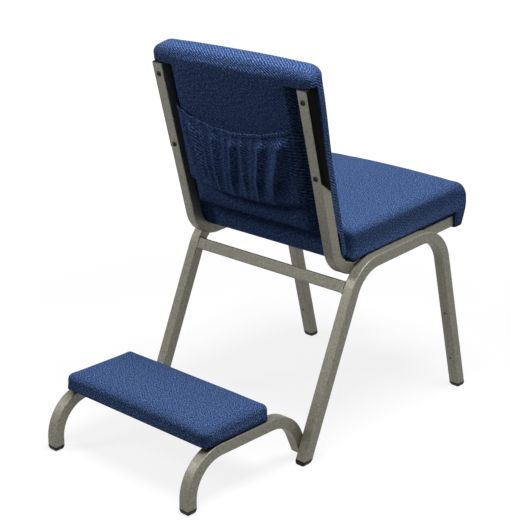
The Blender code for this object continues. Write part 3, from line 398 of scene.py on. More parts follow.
@dataclass(frozen=True)
class HeatherTwill(Finish):
    """Woven polyester upholstery twill in heathered blue.

    To the eye it is matt, with raised diagonal ribs, pale and dark yarns mixed along them and a soft sheen at
    a glancing angle.  Real ribs are too fine to show here, so these are as coarse as they need to be to show.
    """

    dark: str = "#182746"
    middle: str = "#3C578A"
    pale: str = "#7D98CC"
    stops: tuple[float, float, float] = (0.18, 0.55, 1.05)
    rib_pitch: float = 0.0055
    rib_angle: float = math.radians(52.0)
    rib_share: float = 0.36
    yarn: float = 0.0024
    yarn_share: float = 1.6
    dash: float = 2.2
    mottle: float = 0.0050
    mottle_share: float = 0.6
    balance: float = 0.23
    relief: tuple[float, float] = (0.7, 0.0008)
    sheen: str = "#9DB4E0"

    def draw(self, tree: Tree, shader: bpy.types.Node) -> None:
        """Mix dark, middle and pale yarns over a wave of ribs, and raise the ribs."""
        place = add_node(tree, "ShaderNodeUVMap", {"uv_map": WEAVE_MAP}).outputs["UV"]
        across = add_node(
            tree, "ShaderNodeMapping", {"vector_type": "TEXTURE"},
            {"Vector": place, "Rotation": (0.0, 0.0, -self.rib_angle), "Scale": (1.0, self.dash, 1.0)},
        ).outputs["Vector"]
        # A wave node's bands lie 2 pi / (20 times its scale) apart.
        ribs = add_node(
            tree, "ShaderNodeTexWave", {"wave_type": "BANDS", "bands_direction": "X", "wave_profile": "SIN"},
            {
                "Vector": across, "Scale": 2 * math.pi / (20 * self.rib_pitch), "Distortion": 1.2, "Detail": 2.0,
                "Detail Scale": 2.0, "Detail Roughness": 0.6,
            },
        ).outputs["Fac"]
        yarns = noise(tree, across, self.yarn, detail=2.0)
        patches = noise(tree, place, self.mottle, detail=3.0, roughness=0.7)
        level = self.balance - (self.yarn_share + self.rib_share) / 2
        spread = calc(tree, "MULTIPLY_ADD", yarns, self.yarn_share, level)
        drift = calc(tree, "MULTIPLY_ADD", patches, self.mottle_share, spread)
        lit = calc(tree, "MULTIPLY_ADD", ribs, self.rib_share, drift)
        ramp = add_node(tree, "ShaderNodeValToRGB", inputs={"Fac": lit})
        stops = ramp.color_ramp.elements
        stops[0].color, stops[1].color = linear(self.dark), linear(self.pale)
        stops[0].position, stops[1].position = self.stops[0], self.stops[2]
        stops.new(self.stops[1]).color = linear(self.middle)
        height = calc(tree, "MULTIPLY_ADD", yarns, 0.6, ribs)
        self.link(tree, shader, ramp.outputs["Color"], height, self.relief)
        shader.inputs["Sheen Weight"].default_value = 0.04
        shader.inputs["Sheen Roughness"].default_value = 0.5
        shader.inputs["Sheen Tint"].default_value = linear(self.sheen)


@dataclass(frozen=True)
class VeinPowderCoat(Finish):
    """Polyester powder coat with a vein texture, baked on the steel tube in champagne grey.

    To the eye it is a satin metallic grey-beige with darker pits between pale raised veins.
    """

    pit: str = "#646155"
    vein: str = "#ACAA9A"
    vein_size: float = 0.0030
    grit: float = 0.0012
    grit_share: float = 0.35
    spread: tuple[float, float] = (0.45, 0.92)
    gloss: tuple[float, float] = (0.55, 0.36)
    relief: tuple[float, float] = (0.35, 0.0003)

    def draw(self, tree: Tree, shader: bpy.types.Node) -> None:
        """Mix pits and veins by two noises of different size, and raise the veins."""
        place = object_place(tree)
        veins = noise(tree, place, self.vein_size, detail=4.0, roughness=0.7, distortion=0.6)
        mixed = calc(tree, "MULTIPLY_ADD", noise(tree, place, self.grit, detail=1.0), self.grit_share, veins)
        colour = mixed_colour(tree, mapped(tree, mixed, (0.0, 1.0), self.spread), self.pit, self.vein)
        self.link(tree, shader, colour, mixed, self.relief, mapped(tree, veins, self.gloss))


@dataclass(frozen=True)
class SpeckledFinish(Finish):
    """A moulded, plated or blackened surface: one colour that drifts to another in fine specks.

    To the eye it is even from afar, with a faint grain that breaks the gloss when seen close.
    """

    base: str = "#808080"
    speck: str = "#909090"
    grain: float = 0.0010
    gloss_spread: float = 0.08
    relief: tuple[float, float] = (0.4, 0.00008)

    def draw(self, tree: Tree, shader: bpy.types.Node) -> None:
        """Drift the colour and the roughness by one noise, and raise it a little."""
        grain = noise(tree, object_place(tree), self.grain, detail=3.0)
        gloss = mapped(tree, grain, (self.roughness - self.gloss_spread, self.roughness + self.gloss_spread))
        self.link(tree, shader, mixed_colour(tree, grain, self.base, self.speck), grain, self.relief, gloss)


@dataclass(frozen=True)
class BirchPlywood(Finish):
    """Rotary-cut birch plywood, sanded and left bare.

    To the eye it is pale tan with long wandering grain across the chair and a faint fine pore.
    """

    pale: str = "#D2AF80"
    dark: str = "#A87E4E"
    grain: float = 0.0060
    stretch: float = 0.08
    relief: tuple[float, float] = (0.3, 0.0002)

    def draw(self, tree: Tree, shader: bpy.types.Node) -> None:
        """Mix pale and dark wood by a noise that is stretched along X, the grain's direction."""
        drawn = add_node(
            tree, "ShaderNodeMapping", inputs={"Vector": object_place(tree), "Scale": (self.stretch, 1.0, 1.0)}
        ).outputs["Vector"]
        grain = noise(tree, drawn, self.grain, detail=6.0, distortion=0.8)
        self.link(tree, shader, mixed_colour(tree, grain, self.pale, self.dark), grain, self.relief)


TWILL = HeatherTwill("heather_twill", Slot.FABRIC, roughness=0.92, specular=0.05)
# The same cloth drawn tight over thick foam: its ribs lie flat, and mostly the mixed yarns show.
FLAT_TWILL = HeatherTwill(
    "pressed_heather_twill", Slot.FABRIC, roughness=0.92, specular=0.05, rib_share=0.10, yarn_share=2.5,
    yarn=0.0022, dash=1.2,
)
THREAD = HeatherTwill(
    "sewing_thread", Slot.FABRIC, roughness=0.8, specular=0.05, dark="#35486E", middle="#4F6A9C",
    rib_pitch=0.0012, yarn=0.0008,
)
POWDER_COAT = VeinPowderCoat("vein_powder_coat", Slot.FRAME, roughness=0.42, metallic=0.45)
GLIDE_PLASTIC = SpeckledFinish(
    "moulded_polyethylene", Slot.BLACK_PLASTIC, roughness=0.45, specular=0.2, base="#0A0A0B", speck="#141416"
)
# Painted shade: dull and nearly black, so that the strip shows as the dark shaded band beside the post.
SHADE_STRIP_RUBBER = SpeckledFinish(
    "black_strip_painted_shade", Slot.BLACK_PLASTIC, roughness=0.8, specular=0.05, base="#070708", speck="#101012"
)
BLACK_OXIDE = SpeckledFinish(
    "black_oxide_steel", Slot.BLACK_STEEL, roughness=0.36, metallic=0.5, base="#0E0F11", speck="#1C1D20", grain=0.0008
)
ZINC_PLATE = SpeckledFinish(
    "zinc_plated_steel", Slot.ZINC, roughness=0.34, metallic=1.0, base="#B4B7BA", speck="#D2D4D6", grain=0.0016
)
NATURAL_NYLON = SpeckledFinish("natural_nylon", Slot.NYLON, roughness=0.48, base="#D6D1C2", speck="#E4E0D4")
PLYWOOD = BirchPlywood("birch_plywood", Slot.PLYWOOD, roughness=0.7)


def dress(piece: Piece, finish: Finish, body: Body, *nodes: str) -> Piece:
    """Give a piece its finish, its body and the nodes that it stands for, and report it.

    Args:
        piece: The new piece.
        finish: The finish of its material.
        body: The body that it moves with.
        nodes: Names of the solids that it replaces.

    Returns:
        The piece.
    """
    piece.data.materials.clear()
    piece.data.materials.append(finish.material())
    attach(piece, body.value)
    if nodes:
        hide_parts(*nodes)
    LOG.info("%s: %d faces, %s, rides on %s", piece.name, len(piece.data.polygons), finish.name, body.value)
    return piece


# Tube frame


@dataclass(eq=False)
class FrameSizes:
    """Driving sizes of the tube frame, and the places that follow from them."""

    tube: float = 0.0250
    corner: float = 0.0024
    gap: float = 0.0003
    leg_spread: float = 0.4460
    foot_span: float = 0.5448
    rear_foot_at: float = 0.12401
    rear_leg_rake: float = math.radians(22.7)
    front_leg_rake: float = math.radians(14.9)
    rear_shoulder_height: float = 0.3880
    leg_bend: float = 0.0880
    glide_height: float = 0.0110
    stretcher_drop: float = 0.0450
    seat_tilt: float = math.radians(3.5)
    rail_drop: float = 0.0065
    rail_length: float = 0.3886
    post_behind_shoulder: float = 0.0414
    back_recline: float = math.radians(14.7)
    post_length: float = 0.4091
    post_bend: float = 0.0600
    crossbar_rear_at: float = 0.1150
    crossbar_front_setback: float = 0.0586
    plug_flange: float = 0.0025
    kneeler_reach: float = 0.3021
    kneeler_run_height: float = 0.1097
    kneeler_foot_bend: float = 0.0820
    kneeler_arm_bend: float = 0.0840
    kneeler_arm_rake: float = math.radians(24.4)
    kneeler_arm_end: float = 0.0120
    kneeler_crossbar_from_foot: float = 0.1250
    pivot_height: float = 0.0334
    washer: float = 0.0012

    def __post_init__(self) -> None:
        """Work out the places that follow: X is the left side's, points are at X 0 and ways are unit directions."""
        self.half: float = self.tube / 2
        self.leg_x: float = self.leg_spread / 2
        self.leg_inner_x: float = self.leg_x - self.half
        self.post_x: float = self.leg_x - self.tube - self.gap
        self.kneeler_x: float = self.leg_inner_x - self.washer - 2 * self.gap - self.half
        self.rear_leg_way: np.ndarray = slanted(-self.rear_leg_rake)
        self.front_leg_way: np.ndarray = slanted(self.front_leg_rake)
        self.post_way: np.ndarray = slanted(self.back_recline)
        self.seat_up: np.ndarray = slanted(self.seat_tilt)
        self.arm_way: np.ndarray = slanted(self.kneeler_arm_rake)
        self.post_forward: np.ndarray = np.cross(self.post_way, -X_WAY)
        self.seat_forward: np.ndarray = np.cross(self.seat_up, -X_WAY)
        self.rear_foot: np.ndarray = Y_WAY * self.rear_foot_at
        self.front_foot: np.ndarray = self.rear_foot - Y_WAY * self.foot_span
        self.kneeler_foot: np.ndarray = self.rear_foot + Y_WAY * self.kneeler_reach
        self.rear_shoulder: np.ndarray = self.up_rear_leg(self.rear_shoulder_height)
        self.stretcher_at: np.ndarray = self.up_rear_leg(self.rear_shoulder_height - self.stretcher_drop)
        self.pivot: np.ndarray = self.up_rear_leg(self.pivot_height)
        self.arm_end: np.ndarray = self.pivot - self.arm_way * self.kneeler_arm_end
        self.kneeler_shoulder: np.ndarray = self.kneeler_foot + Z_WAY * self.kneeler_run_height
        # The front shoulder is where the seat run's line meets the front leg's.
        gap, run, leg = self.front_foot - self.rear_shoulder, self.seat_forward, self.front_leg_way
        reach = (gap[1] * leg[2] - gap[2] * leg[1]) / (run[1] * leg[2] - run[2] * leg[1])
        self.front_shoulder: np.ndarray = self.rear_shoulder + run * reach
        # The post's corner is where its line meets the seat rail's.
        behind = self.seat_forward * self.post_behind_shoulder
        self.post_corner: np.ndarray = self.rear_shoulder - behind - self.seat_up * self.rail_drop
        self.post_top: np.ndarray = self.post_corner + self.post_way * self.post_length
        self.rail_front: np.ndarray = self.post_corner + self.seat_forward * self.rail_length

    def up_rear_leg(self, height: float) -> np.ndarray:
        """Return the point of the rear leg's middle line at a height."""
        return self.rear_foot + self.rear_leg_way * (height / self.rear_leg_way[2])


SIZES = FrameSizes()


def weld_bead(outline: np.ndarray, outward: np.ndarray, way: np.ndarray, radius: float) -> Surface:
    """Return a weld bead: a small circle carried round a closed outline, rippled along it.

    The circle's radius is the bead's times 1 plus two small sines of the length along the outline.

    Args:
        outline: Points round the joint.
        outward: Unit directions out of the tube at those points.
        way: Unit direction along the tube.
        radius: The bead's radius.

    Returns:
        The closed surface.
    """
    lengths = np.linalg.norm(np.roll(outline, -1, axis=0) - outline, axis=1).cumsum()
    ripple = radius * (1.0 + 0.14 * np.sin(2 * math.pi * lengths / (2.6 * radius)) + 0.08 * np.sin(lengths * 431.0))
    angles = np.linspace(0.0, 2 * math.pi, 10, endpoint=False)
    around = np.cos(angles)[None, :, None] * outward[:, None] + np.sin(angles)[None, :, None] * way
    rings = outline[:, None] + ripple[:, None, None] * around
    return Surface(rings.reshape(-1, 3), grid_faces(*rings.shape[:2], wrap_rows=True, wrap_columns=True).tolist())


@dataclass
class TubeFrame:
    """The bent square steel tubes of the chair and of its kneeler, with their welds."""

    sizes: FrameSizes = SIZES
    hole_diameter: float = 0.0050
    hole_heights: tuple[float, float] = (0.0800, 0.1990)
    hole_depth: float = 0.0080
    bead: float = 0.0021
    bead_inset: float = 0.4
    seat_weld_at: tuple[float, ...] = (0.0850, 0.1900, 0.2950)
    seat_weld_half: tuple[float, float] = (0.0140, 0.0016)
    seat_weld_drop: float = 0.0004
    seat_bead: float = 0.0018

    def profile(self) -> np.ndarray:
        """Return the tube's outline."""
        return rounded_square(self.sizes.half, self.sizes.half, self.sizes.corner)

    def bent(self, x: float, corners: list[np.ndarray], radii: list[float]) -> np.ndarray:
        """Return the rings of a bent tube in the plane at x."""
        path = bent_path(corners, radii) + X_WAY * x
        return swept(path, X_WAY, self.profile())

    def leg(self, label: str, side: float) -> Piece:
        """Make one inverted-U leg frame, with its accessory holes drilled into the front leg's rear face."""
        sizes = self.sizes
        ends = [
            foot + way * (sizes.glide_height / way[2])
            for foot, way in ((sizes.front_foot, sizes.front_leg_way), (sizes.rear_foot, sizes.rear_leg_way))
        ]
        corners = [ends[0], sizes.front_shoulder, sizes.rear_shoulder, ends[1]]
        rings = self.bent(side * sizes.leg_x, corners, [sizes.leg_bend] * 2)
        cut_level(rings, 0, sizes.glide_height)
        cut_level(rings, len(rings) - 1, sizes.glide_height)
        piece = lofted(rings).piece("leg_tube_" + label)
        way = sizes.front_leg_way
        rearward = np.array([0.0, way[2], -way[1]])
        drills = [
            turned(
                sizes.front_foot + way * (height / way[2]) + rearward * (sizes.half - self.hole_depth)
                + X_WAY * (side * sizes.leg_x),
                rearward,
                np.array([[0.0, self.hole_diameter / 2, 0.0], [2 * self.hole_depth, self.hole_diameter / 2, 0.0]]),
                sides=20,
            )
            for height in self.hole_heights
        ]
        return self.drilled(piece, merged(drills))

    def drilled(self, piece: Piece, drill: Surface) -> Piece:
        """Cut a drill's shape out of a piece and return the piece."""
        cutter = drill.piece("drill")
        cut = piece.modifiers.new("holes", "BOOLEAN")
        cut.operation, cut.solver, cut.object = "DIFFERENCE", "EXACT", cutter
        graph = bpy.context.evaluated_depsgraph_get()
        mesh = bpy.data.meshes.new_from_object(piece.evaluated_get(graph))
        piece.modifiers.clear()
        piece.data = mesh
        mesh.set_sharp_from_angle(angle=SHARP_ANGLE)
        bpy.data.objects.remove(cutter, do_unlink=True)
        return piece

    def post(self, label: str, side: float) -> Piece:
        """Make one tube that is seat rail and back post."""
        sizes = self.sizes
        corners = [sizes.rail_front, sizes.post_corner, sizes.post_top]
        rings = self.bent(side * sizes.post_x, corners, [sizes.post_bend])
        return lofted(rings).piece("post_tube_" + label)

    def kneeler_rail(self, label: str, side: float) -> Piece:
        """Make one kneeler rail: foot, level run and arm."""
        sizes = self.sizes
        rise = (sizes.kneeler_run_height - sizes.pivot_height) / sizes.arm_way[2]
        corners = [
            sizes.kneeler_foot + Z_WAY * sizes.glide_height, sizes.kneeler_shoulder,
            sizes.pivot + sizes.arm_way * rise, sizes.arm_end,
        ]
        radii = [sizes.kneeler_foot_bend, sizes.kneeler_arm_bend]
        return lofted(self.bent(side * sizes.kneeler_x, corners, radii)).piece("kneeler_tube_" + label)

    def crossbar(self, name: str, centre: np.ndarray, up: np.ndarray, reach: float, body: Body, node: str) -> None:
        """Make a straight tube between two others, and the weld bead round each of its ends.

        Args:
            name: The new piece's name.
            centre: The tube's middle, at X 0.
            up: The direction that its upper face looks.
            reach: The X of the face that it is welded to.
            body: The body that it moves with.
            node: The solid that it replaces.
        """
        path = centre + X_WAY * np.array([[-reach], [reach]])
        rings = swept(path, np.cross(up, X_WAY), self.profile())
        dress(lofted(rings).piece(name), POWDER_COAT, body, node)
        beads = []
        for ring, sign in ((rings[0], 1.0), (rings[1], -1.0)):
            outward = unit(ring - ring.mean(axis=0))
            inset = X_WAY * sign * self.bead * self.bead_inset
            beads.append(weld_bead(ring + inset, outward, X_WAY, self.bead))
        dress(merged(beads).piece(name + "_welds"), POWDER_COAT, body)

    def seat_welds(self, label: str, side: float) -> None:
        """Make the stitch welds under the seat, along the line where leg frame and seat rail meet."""
        sizes = self.sizes
        start = sizes.post_corner - sizes.seat_up * (sizes.half + self.seat_weld_drop)
        start = start + X_WAY * side * (sizes.leg_inner_x - sizes.gap / 2)
        angles = np.linspace(0.0, 2 * math.pi, 40, endpoint=False)[:, None]
        along, across = sizes.seat_forward * np.cos(angles), X_WAY * np.sin(angles)
        outline = along * self.seat_weld_half[0] + across * self.seat_weld_half[1]
        beads = [
            weld_bead(
                start + sizes.seat_forward * place + outline, unit(along + across), sizes.seat_up, self.seat_bead
            )
            for place in self.seat_weld_at
        ]
        dress(merged(beads).piece("seat_rail_welds_" + label), POWDER_COAT, Body.CHAIR)

    def build(self) -> None:
        """Make and dress every tube and weld."""
        sizes = self.sizes
        for label, side in SIDES.items():
            dress(self.leg(label, side), POWDER_COAT, Body.CHAIR, "leg_frame_" + label)
            dress(self.post(label, side), POWDER_COAT, Body.CHAIR, "back_post_seat_rail_" + label)
            dress(self.kneeler_rail(label, side), POWDER_COAT, Body.KNEELER, "kneeler_rail_" + label)
            self.seat_welds(label, side)
        self.crossbar(
            "stretcher_tube", sizes.stretcher_at, sizes.rear_leg_way, sizes.leg_inner_x, Body.CHAIR, "rear_stretcher"
        )
        front_at = sizes.rail_length - sizes.crossbar_front_setback
        for label, place in (("rear", sizes.crossbar_rear_at), ("front", front_at)):
            centre = sizes.post_corner + sizes.seat_forward * place
            reach = sizes.post_x - sizes.half
            name = "seat_crossbar_" + label
            self.crossbar("seat_cross_tube_" + label, centre, sizes.seat_up, reach, Body.CHAIR, name)
        centre = sizes.kneeler_shoulder - Y_WAY * sizes.kneeler_crossbar_from_foot
        reach = sizes.kneeler_x - sizes.half
        self.crossbar("kneeler_cross_tube", centre, Z_WAY, reach, Body.KNEELER, "kneeler_crossbar")


# Plastic ends, strips and fasteners


@dataclass
class TubeEnds:
    """The moulded glides, caps and plugs in the tube ends, and the strips on the back posts, whose near-black rubber
    paints the shade on the posts' sides.
    """

    sizes: FrameSizes = SIZES
    rim: float = 0.0007
    rim_height: float = 0.0034
    rim_steps: tuple[tuple[float, float], ...] = ((0.0003, 0.0003), (0.0008, 0.0), (0.0028, 0.0), (0.0034, 0.0004))
    corner_share: float = 0.32
    cap_steps: tuple[tuple[float, float], ...] = (
        (0.0, 0.0002), (0.12, 0.0), (0.52, 0.0), (0.76, 0.0003), (0.92, 0.0010), (1.0, 0.0040),
    )
    contact: float = 0.0066
    bumper_margin: float = 0.0011
    bumper_thickness: float = 0.0020
    bumper_length: float = 0.2230
    bumper_slant: float = 0.0270
    bumper_edge: float = 0.0007

    def glide(self, name: str, foot: np.ndarray, way: np.ndarray) -> Piece:
        """Make a foot glide: a rim under the tube's end and a domed base that stands on the floor.

        At each height the outline is the tube's rounded square, scaled by the dome's quarter ellipse.
        """
        sizes = self.sizes
        shoulder = sizes.glide_height - self.rim_height
        angles = np.linspace(0.0, math.pi / 2, 9)
        dome_height = shoulder * (1.0 - np.cos(angles))
        dome_half = self.contact + (sizes.half - self.contact) * np.sin(angles)
        lifts, insets = np.array(self.rim_steps).T
        heights = np.concatenate([dome_height, shoulder + lifts])
        halves = np.concatenate([dome_half, sizes.half + self.rim - insets])
        outline = rounded_square(1.0, 1.0, self.corner_share)
        flat = np.stack([outline[:, 0], outline[:, 1] / way[2], np.zeros(len(outline))], axis=-1)
        centres = foot + way * (heights[:, None] / way[2])
        return lofted(centres[:, None] + halves[:, None, None] * flat).piece(name)

    def cap(self, name: str, end: np.ndarray, way: np.ndarray) -> Piece:
        """Make a cap on a square tube end: a flange with a rounded edge and a slightly domed face."""
        sizes = self.sizes
        side = np.cross(way, X_WAY)
        rings = []
        for share, inset in self.cap_steps:
            outline = rounded_square(sizes.half - inset, sizes.half - inset, sizes.corner)
            lift = way * (share * sizes.plug_flange)
            rings.append(end + lift + outline[:, :1] * X_WAY + outline[:, 1:] * side)
        return lofted(np.array(rings)).piece(name)

    def bumper(self, label: str, side: float) -> Piece:
        """Make the soft strip on a post's outer side, near black to paint the shade there: long, cut slanting below,
        with a rounded outer edge.
        """
        sizes = self.sizes
        half = sizes.half - self.bumper_margin
        low = sizes.post_length - self.bumper_length
        low_end = np.stack([np.linspace(-half, half, 25), np.linspace(low + self.bumper_slant, low, 25)], axis=-1)
        outline = np.concatenate([low_end, [[half, sizes.post_length], [-half, sizes.post_length]]])
        centre = np.array([0.0, (low + sizes.post_length) / 2])
        inner = side * (sizes.post_x + sizes.half + sizes.gap)
        rings = []
        thick, edge = self.bumper_thickness, self.bumper_edge
        for lift, inset in ((0.0, 0.0), (thick - edge, 0.0), (thick, edge)):
            drawn = outline - np.sign(outline - centre) * np.array([inset, inset])
            local = sizes.post_corner + drawn[:, :1] * sizes.post_forward + drawn[:, 1:] * sizes.post_way
            rings.append(local + X_WAY * (inner + side * lift))
        return lofted(np.array(rings)).piece("post_shade_strip_" + label)

    def build(self) -> None:
        """Make and dress every glide, cap, plug and strip."""
        sizes = self.sizes
        for label, side in SIDES.items():
            across = X_WAY * side
            feet = (
                ("front_glide_", sizes.front_foot, sizes.front_leg_way, sizes.leg_x, Body.CHAIR),
                ("rear_glide_", sizes.rear_foot, sizes.rear_leg_way, sizes.leg_x, Body.CHAIR),
                ("kneeler_glide_", sizes.kneeler_foot, Z_WAY, sizes.kneeler_x, Body.KNEELER),
            )
            for node, foot, way, x, body in feet:
                piece = self.glide("domed_" + node + label, foot + across * x, way)
                dress(piece, GLIDE_PLASTIC, body, node + label)
            ends = (
                ("post_cap_", sizes.post_top, sizes.post_way, sizes.post_x, Body.CHAIR),
                ("seat_rail_plug_", sizes.rail_front, sizes.seat_forward, sizes.post_x, Body.CHAIR),
                ("kneeler_arm_plug_", sizes.arm_end, -sizes.arm_way, sizes.kneeler_x, Body.KNEELER),
            )
            for node, end, way, x, body in ends:
                piece = self.cap("moulded_" + node + label, end + across * x, way)
                dress(piece, GLIDE_PLASTIC, body, node + label)
            # The strip's near-black rubber paints the shade on the post's side.
            dress(self.bumper(label, side), SHADE_STRIP_RUBBER, Body.CHAIR, "post_bumper_" + label)


@dataclass
class Fasteners:
    """The dome-head screws of the back, the wood screws and the pivot bolts."""

    sizes: FrameSizes = SIZES
    back_screw_low_at: float = 0.2216
    back_screw_from_top: float = 0.0245
    back_head: tuple[float, float] = (0.0120, 0.0034)
    back_shank: tuple[float, float] = (0.0060, 0.0336)
    wood_head: tuple[float, float] = (0.0100, 0.0026)
    wood_shank: tuple[float, float] = (0.0048, 0.0320)
    pivot_head: tuple[float, float] = (0.0140, 0.0045)
    pivot_shank: tuple[float, float] = (0.0080, 0.0358)
    seat_screw_spacing: float = 0.1700
    pad_screw_spacing: float = 0.0900
    pad_from_foot: float = 0.0370
    pad_depth: float = 0.1850
    socket: float = 0.42

    def dome_screw(
        self, name: str, face: np.ndarray, way: np.ndarray, head: tuple[float, float], shank: tuple[float, float]
    ) -> Piece:
        """Make a dome-head screw with a hexagon socket: rings of a quarter ellipse, the socket and the shank.

        Args:
            name: The new piece's name.
            face: The point of the face that the head bears on.
            way: The direction that the shank goes in.
            head: The head's diameter and height.
            shank: The shank's diameter and length.

        Returns:
            The screw.
        """
        radius, height = head[0] / 2, head[1]
        bore = radius * self.socket
        start = math.asin(min(0.95, bore * 1.25 / radius))
        angles = np.linspace(start, math.pi / 2, 9)
        dome = np.stack([-height * np.cos(angles), radius * np.sin(angles), np.zeros(9)], axis=-1)
        crown = dome[0, 0]
        socket = np.array([
            [crown + 0.55 * height, bore * 0.2, 1.0],
            [crown + 0.55 * height, bore, 1.0],
            [crown + 0.06 * height, bore, 1.0],
        ])
        reach = shank[0] / 2
        foot = np.array([
            [-0.0001, radius * 0.97, 0.0], [-0.0001, reach, 0.0], [shank[1] - reach, reach, 0.0],
            [shank[1], reach * 0.45, 0.0],
        ])
        return turned(face, way, np.concatenate([socket, dome, foot])).piece(name)

    def build(self) -> None:
        """Make and dress every screw and bolt."""
        sizes = self.sizes
        middle = (sizes.crossbar_rear_at + sizes.rail_length - sizes.crossbar_front_setback) / 2
        pad_middle = sizes.kneeler_foot[1] - self.pad_from_foot - self.pad_depth / 2
        for label, side in SIDES.items():
            across = X_WAY * side
            post = sizes.post_corner + across * sizes.post_x
            for end, place in (
                ("lower", self.back_screw_low_at), ("upper", sizes.post_length - self.back_screw_from_top)
            ):
                face = post + sizes.post_way * place - sizes.post_forward * sizes.half
                name = "back_screw_" + end + "_" + label
                screw = self.dome_screw("socket_" + name, face, sizes.post_forward, self.back_head, self.back_shank)
                dress(screw, BLACK_OXIDE, Body.CHAIR, name)
            for end, sign in (("rear", -1.0), ("front", 1.0)):
                place = middle + sign * self.seat_screw_spacing / 2
                face = post + sizes.seat_forward * place - sizes.seat_up * sizes.half
                name = "seat_screw_" + end + "_" + label
                screw = self.dome_screw("socket_" + name, face, sizes.seat_up, self.wood_head, self.wood_shank)
                dress(screw, ZINC_PLATE, Body.CHAIR, name)
                y = pad_middle - sign * self.pad_screw_spacing / 2
                face = across * sizes.kneeler_x + Y_WAY * y + Z_WAY * (sizes.kneeler_run_height - sizes.half)
                name = "kneeler_screw_" + end + "_" + label
                screw = self.dome_screw("socket_" + name, face, Z_WAY, self.wood_head, self.wood_shank)
                dress(screw, ZINC_PLATE, Body.KNEELER, name)
            face = sizes.pivot + across * (sizes.kneeler_x - sizes.half)
            name = "pivot_bolt_" + label
            bolt = self.dome_screw("socket_" + name, face, across, self.pivot_head, self.pivot_shank)
            dress(bolt, ZINC_PLATE, Body.CHAIR, name)


# Upholstery


def edge_lines(low: float, high: float, margins: tuple[float, float], cell: float, steps: int = 5) -> np.ndarray:
    """Return grid lines from low to high: even between the margins, and at even angles of an arc in them."""
    rise = np.tan(np.linspace(0.0, math.pi / 4, steps + 1))
    start, end = low + margins[0], high - margins[1]
    inner = np.linspace(start, end, max(2, round((end - start) / cell) + 1))
    return np.concatenate([(start - margins[0] * rise)[:0:-1], inner, (end + margins[1] * rise)[1:]])


@dataclass
class PaddedBlock:
    """A closed padded block on six grids, with rounded edges and a weave map that unfolds from its main face.

    A point q of the box is drawn to p = inner + m * d / |d|, where inner is q clamped to the box less its
    margins, m is the margin on that side and d = (q - inner) / m.  The main face is the high end of axis 2.
    """

    lines: list[np.ndarray]
    low_margins: np.ndarray
    high_margins: np.ndarray

    def surface(self) -> Surface:
        """Return the rounded block in local coordinates."""
        low = np.array([line[0] for line in self.lines])
        high = np.array([line[-1] for line in self.lines])
        points, uvs, faces = [], [], []
        start = 0
        for axis in range(3):
            first, second = [other for other in range(3) if other != axis]
            for end in (0, -1):
                grid = np.empty((len(self.lines[first]), len(self.lines[second]), 3))
                grid[..., first] = self.lines[first][:, None]
                grid[..., second] = self.lines[second][None, :]
                grid[..., axis] = self.lines[axis][end]
                sign = 1.0 if end == -1 else -1.0
                depth = high[2] - grid[..., 2]
                u, v = grid[..., 0].copy(), grid[..., 1].copy()
                if axis == 0:
                    u += sign * depth
                elif axis == 1:
                    v += sign * depth
                elif end == 0:
                    v = 2 * high[1] + high[2] - low[2] - v
                faces.append(start + grid_faces(*grid.shape[:2]))
                points.append(grid.reshape(-1, 3))
                uvs.append(np.stack([u, v], axis=-1).reshape(-1, 2))
                start += len(points[-1])
        flat, uv, quads = np.concatenate(points), np.concatenate(uvs), np.concatenate(faces)
        _, keep, merged = np.unique(np.round(flat, 6), axis=0, return_index=True, return_inverse=True)
        boxed = flat[keep]
        inner = np.clip(boxed, low + self.low_margins, high - self.high_margins)
        offset = boxed - inner
        reach = np.where(offset < 0.0, self.low_margins, self.high_margins)
        way = offset / reach
        rounded = inner + reach * way / np.maximum(np.linalg.norm(way, axis=1, keepdims=True), 1e-9)
        return Surface(rounded, merged.reshape(-1)[quads].tolist(), uv[quads].reshape(-1, 2))


@dataclass(frozen=True)
class CoverSwell:
    """How a cover swells: its filling's pressure, the furthest that a point may move and the cloth's own values."""

    pressure: float
    cap: float
    mass: float = 0.3
    stretch: float = 15.0
    shear: float = 5.0
    bending: float = 0.5
    quality: int = 6
    frames: int = 20


def swell_cover(piece: Piece, held: np.ndarray, swell: CoverSwell) -> None:
    """Let a cover swell over its filling by a cloth simulation, and keep the result in its mesh.

    Args:
        piece: The padded piece.
        held: True for each point that is fixed to the board.
        swell: The filling's and the cloth's values.
    """
    mesh, scene = piece.data, bpy.context.scene
    start = np.empty(len(mesh.vertices) * 3, dtype=np.float32)
    mesh.vertices.foreach_get("co", start)
    group = piece.vertex_groups.new(name="held")
    group.add(np.flatnonzero(held).tolist(), 1.0, "REPLACE")
    cloth = piece.modifiers.new("cover", "CLOTH")
    settings = cloth.settings
    settings.quality, settings.mass = swell.quality, swell.mass
    settings.tension_stiffness = settings.compression_stiffness = swell.stretch
    settings.shear_stiffness, settings.bending_stiffness = swell.shear, swell.bending
    settings.vertex_group_mass = "held"
    settings.use_pressure, settings.uniform_pressure_force = True, swell.pressure
    settings.effector_weights.gravity = 0.0
    cloth.collision_settings.use_collision = False
    cloth.point_cache.frame_start, cloth.point_cache.frame_end = 1, swell.frames
    for moment in range(1, swell.frames + 1):
        scene.frame_set(moment)
    settled = piece.evaluated_get(bpy.context.evaluated_depsgraph_get())
    end = np.empty_like(start)
    settled.data.vertices.foreach_get("co", end)
    piece.modifiers.remove(cloth)
    piece.vertex_groups.remove(group)
    scene.frame_set(1)
    move = (end - start).reshape(-1, 3)
    length = np.linalg.norm(move, axis=1, keepdims=True)
    move *= swell.cap * np.tanh(length / swell.cap) / np.maximum(length, 1e-9)
    mesh.vertices.foreach_set("co", (start.reshape(-1, 3) + move).ravel())
    mesh.update()
    LOG.info("%s swelled by up to %.1f mm", piece.name, 1000 * float(np.linalg.norm(move, axis=1).max()))


def finish_cover(piece: Piece, cloth: Finish, body: Body, fill: float, *nodes: str) -> None:
    rounds = piece.modifiers.new("rounds", "SUBSURF")
    rounds.levels = rounds.render_levels = 1
    piece.data.shade_smooth()
    dress(piece, cloth, body, *nodes)


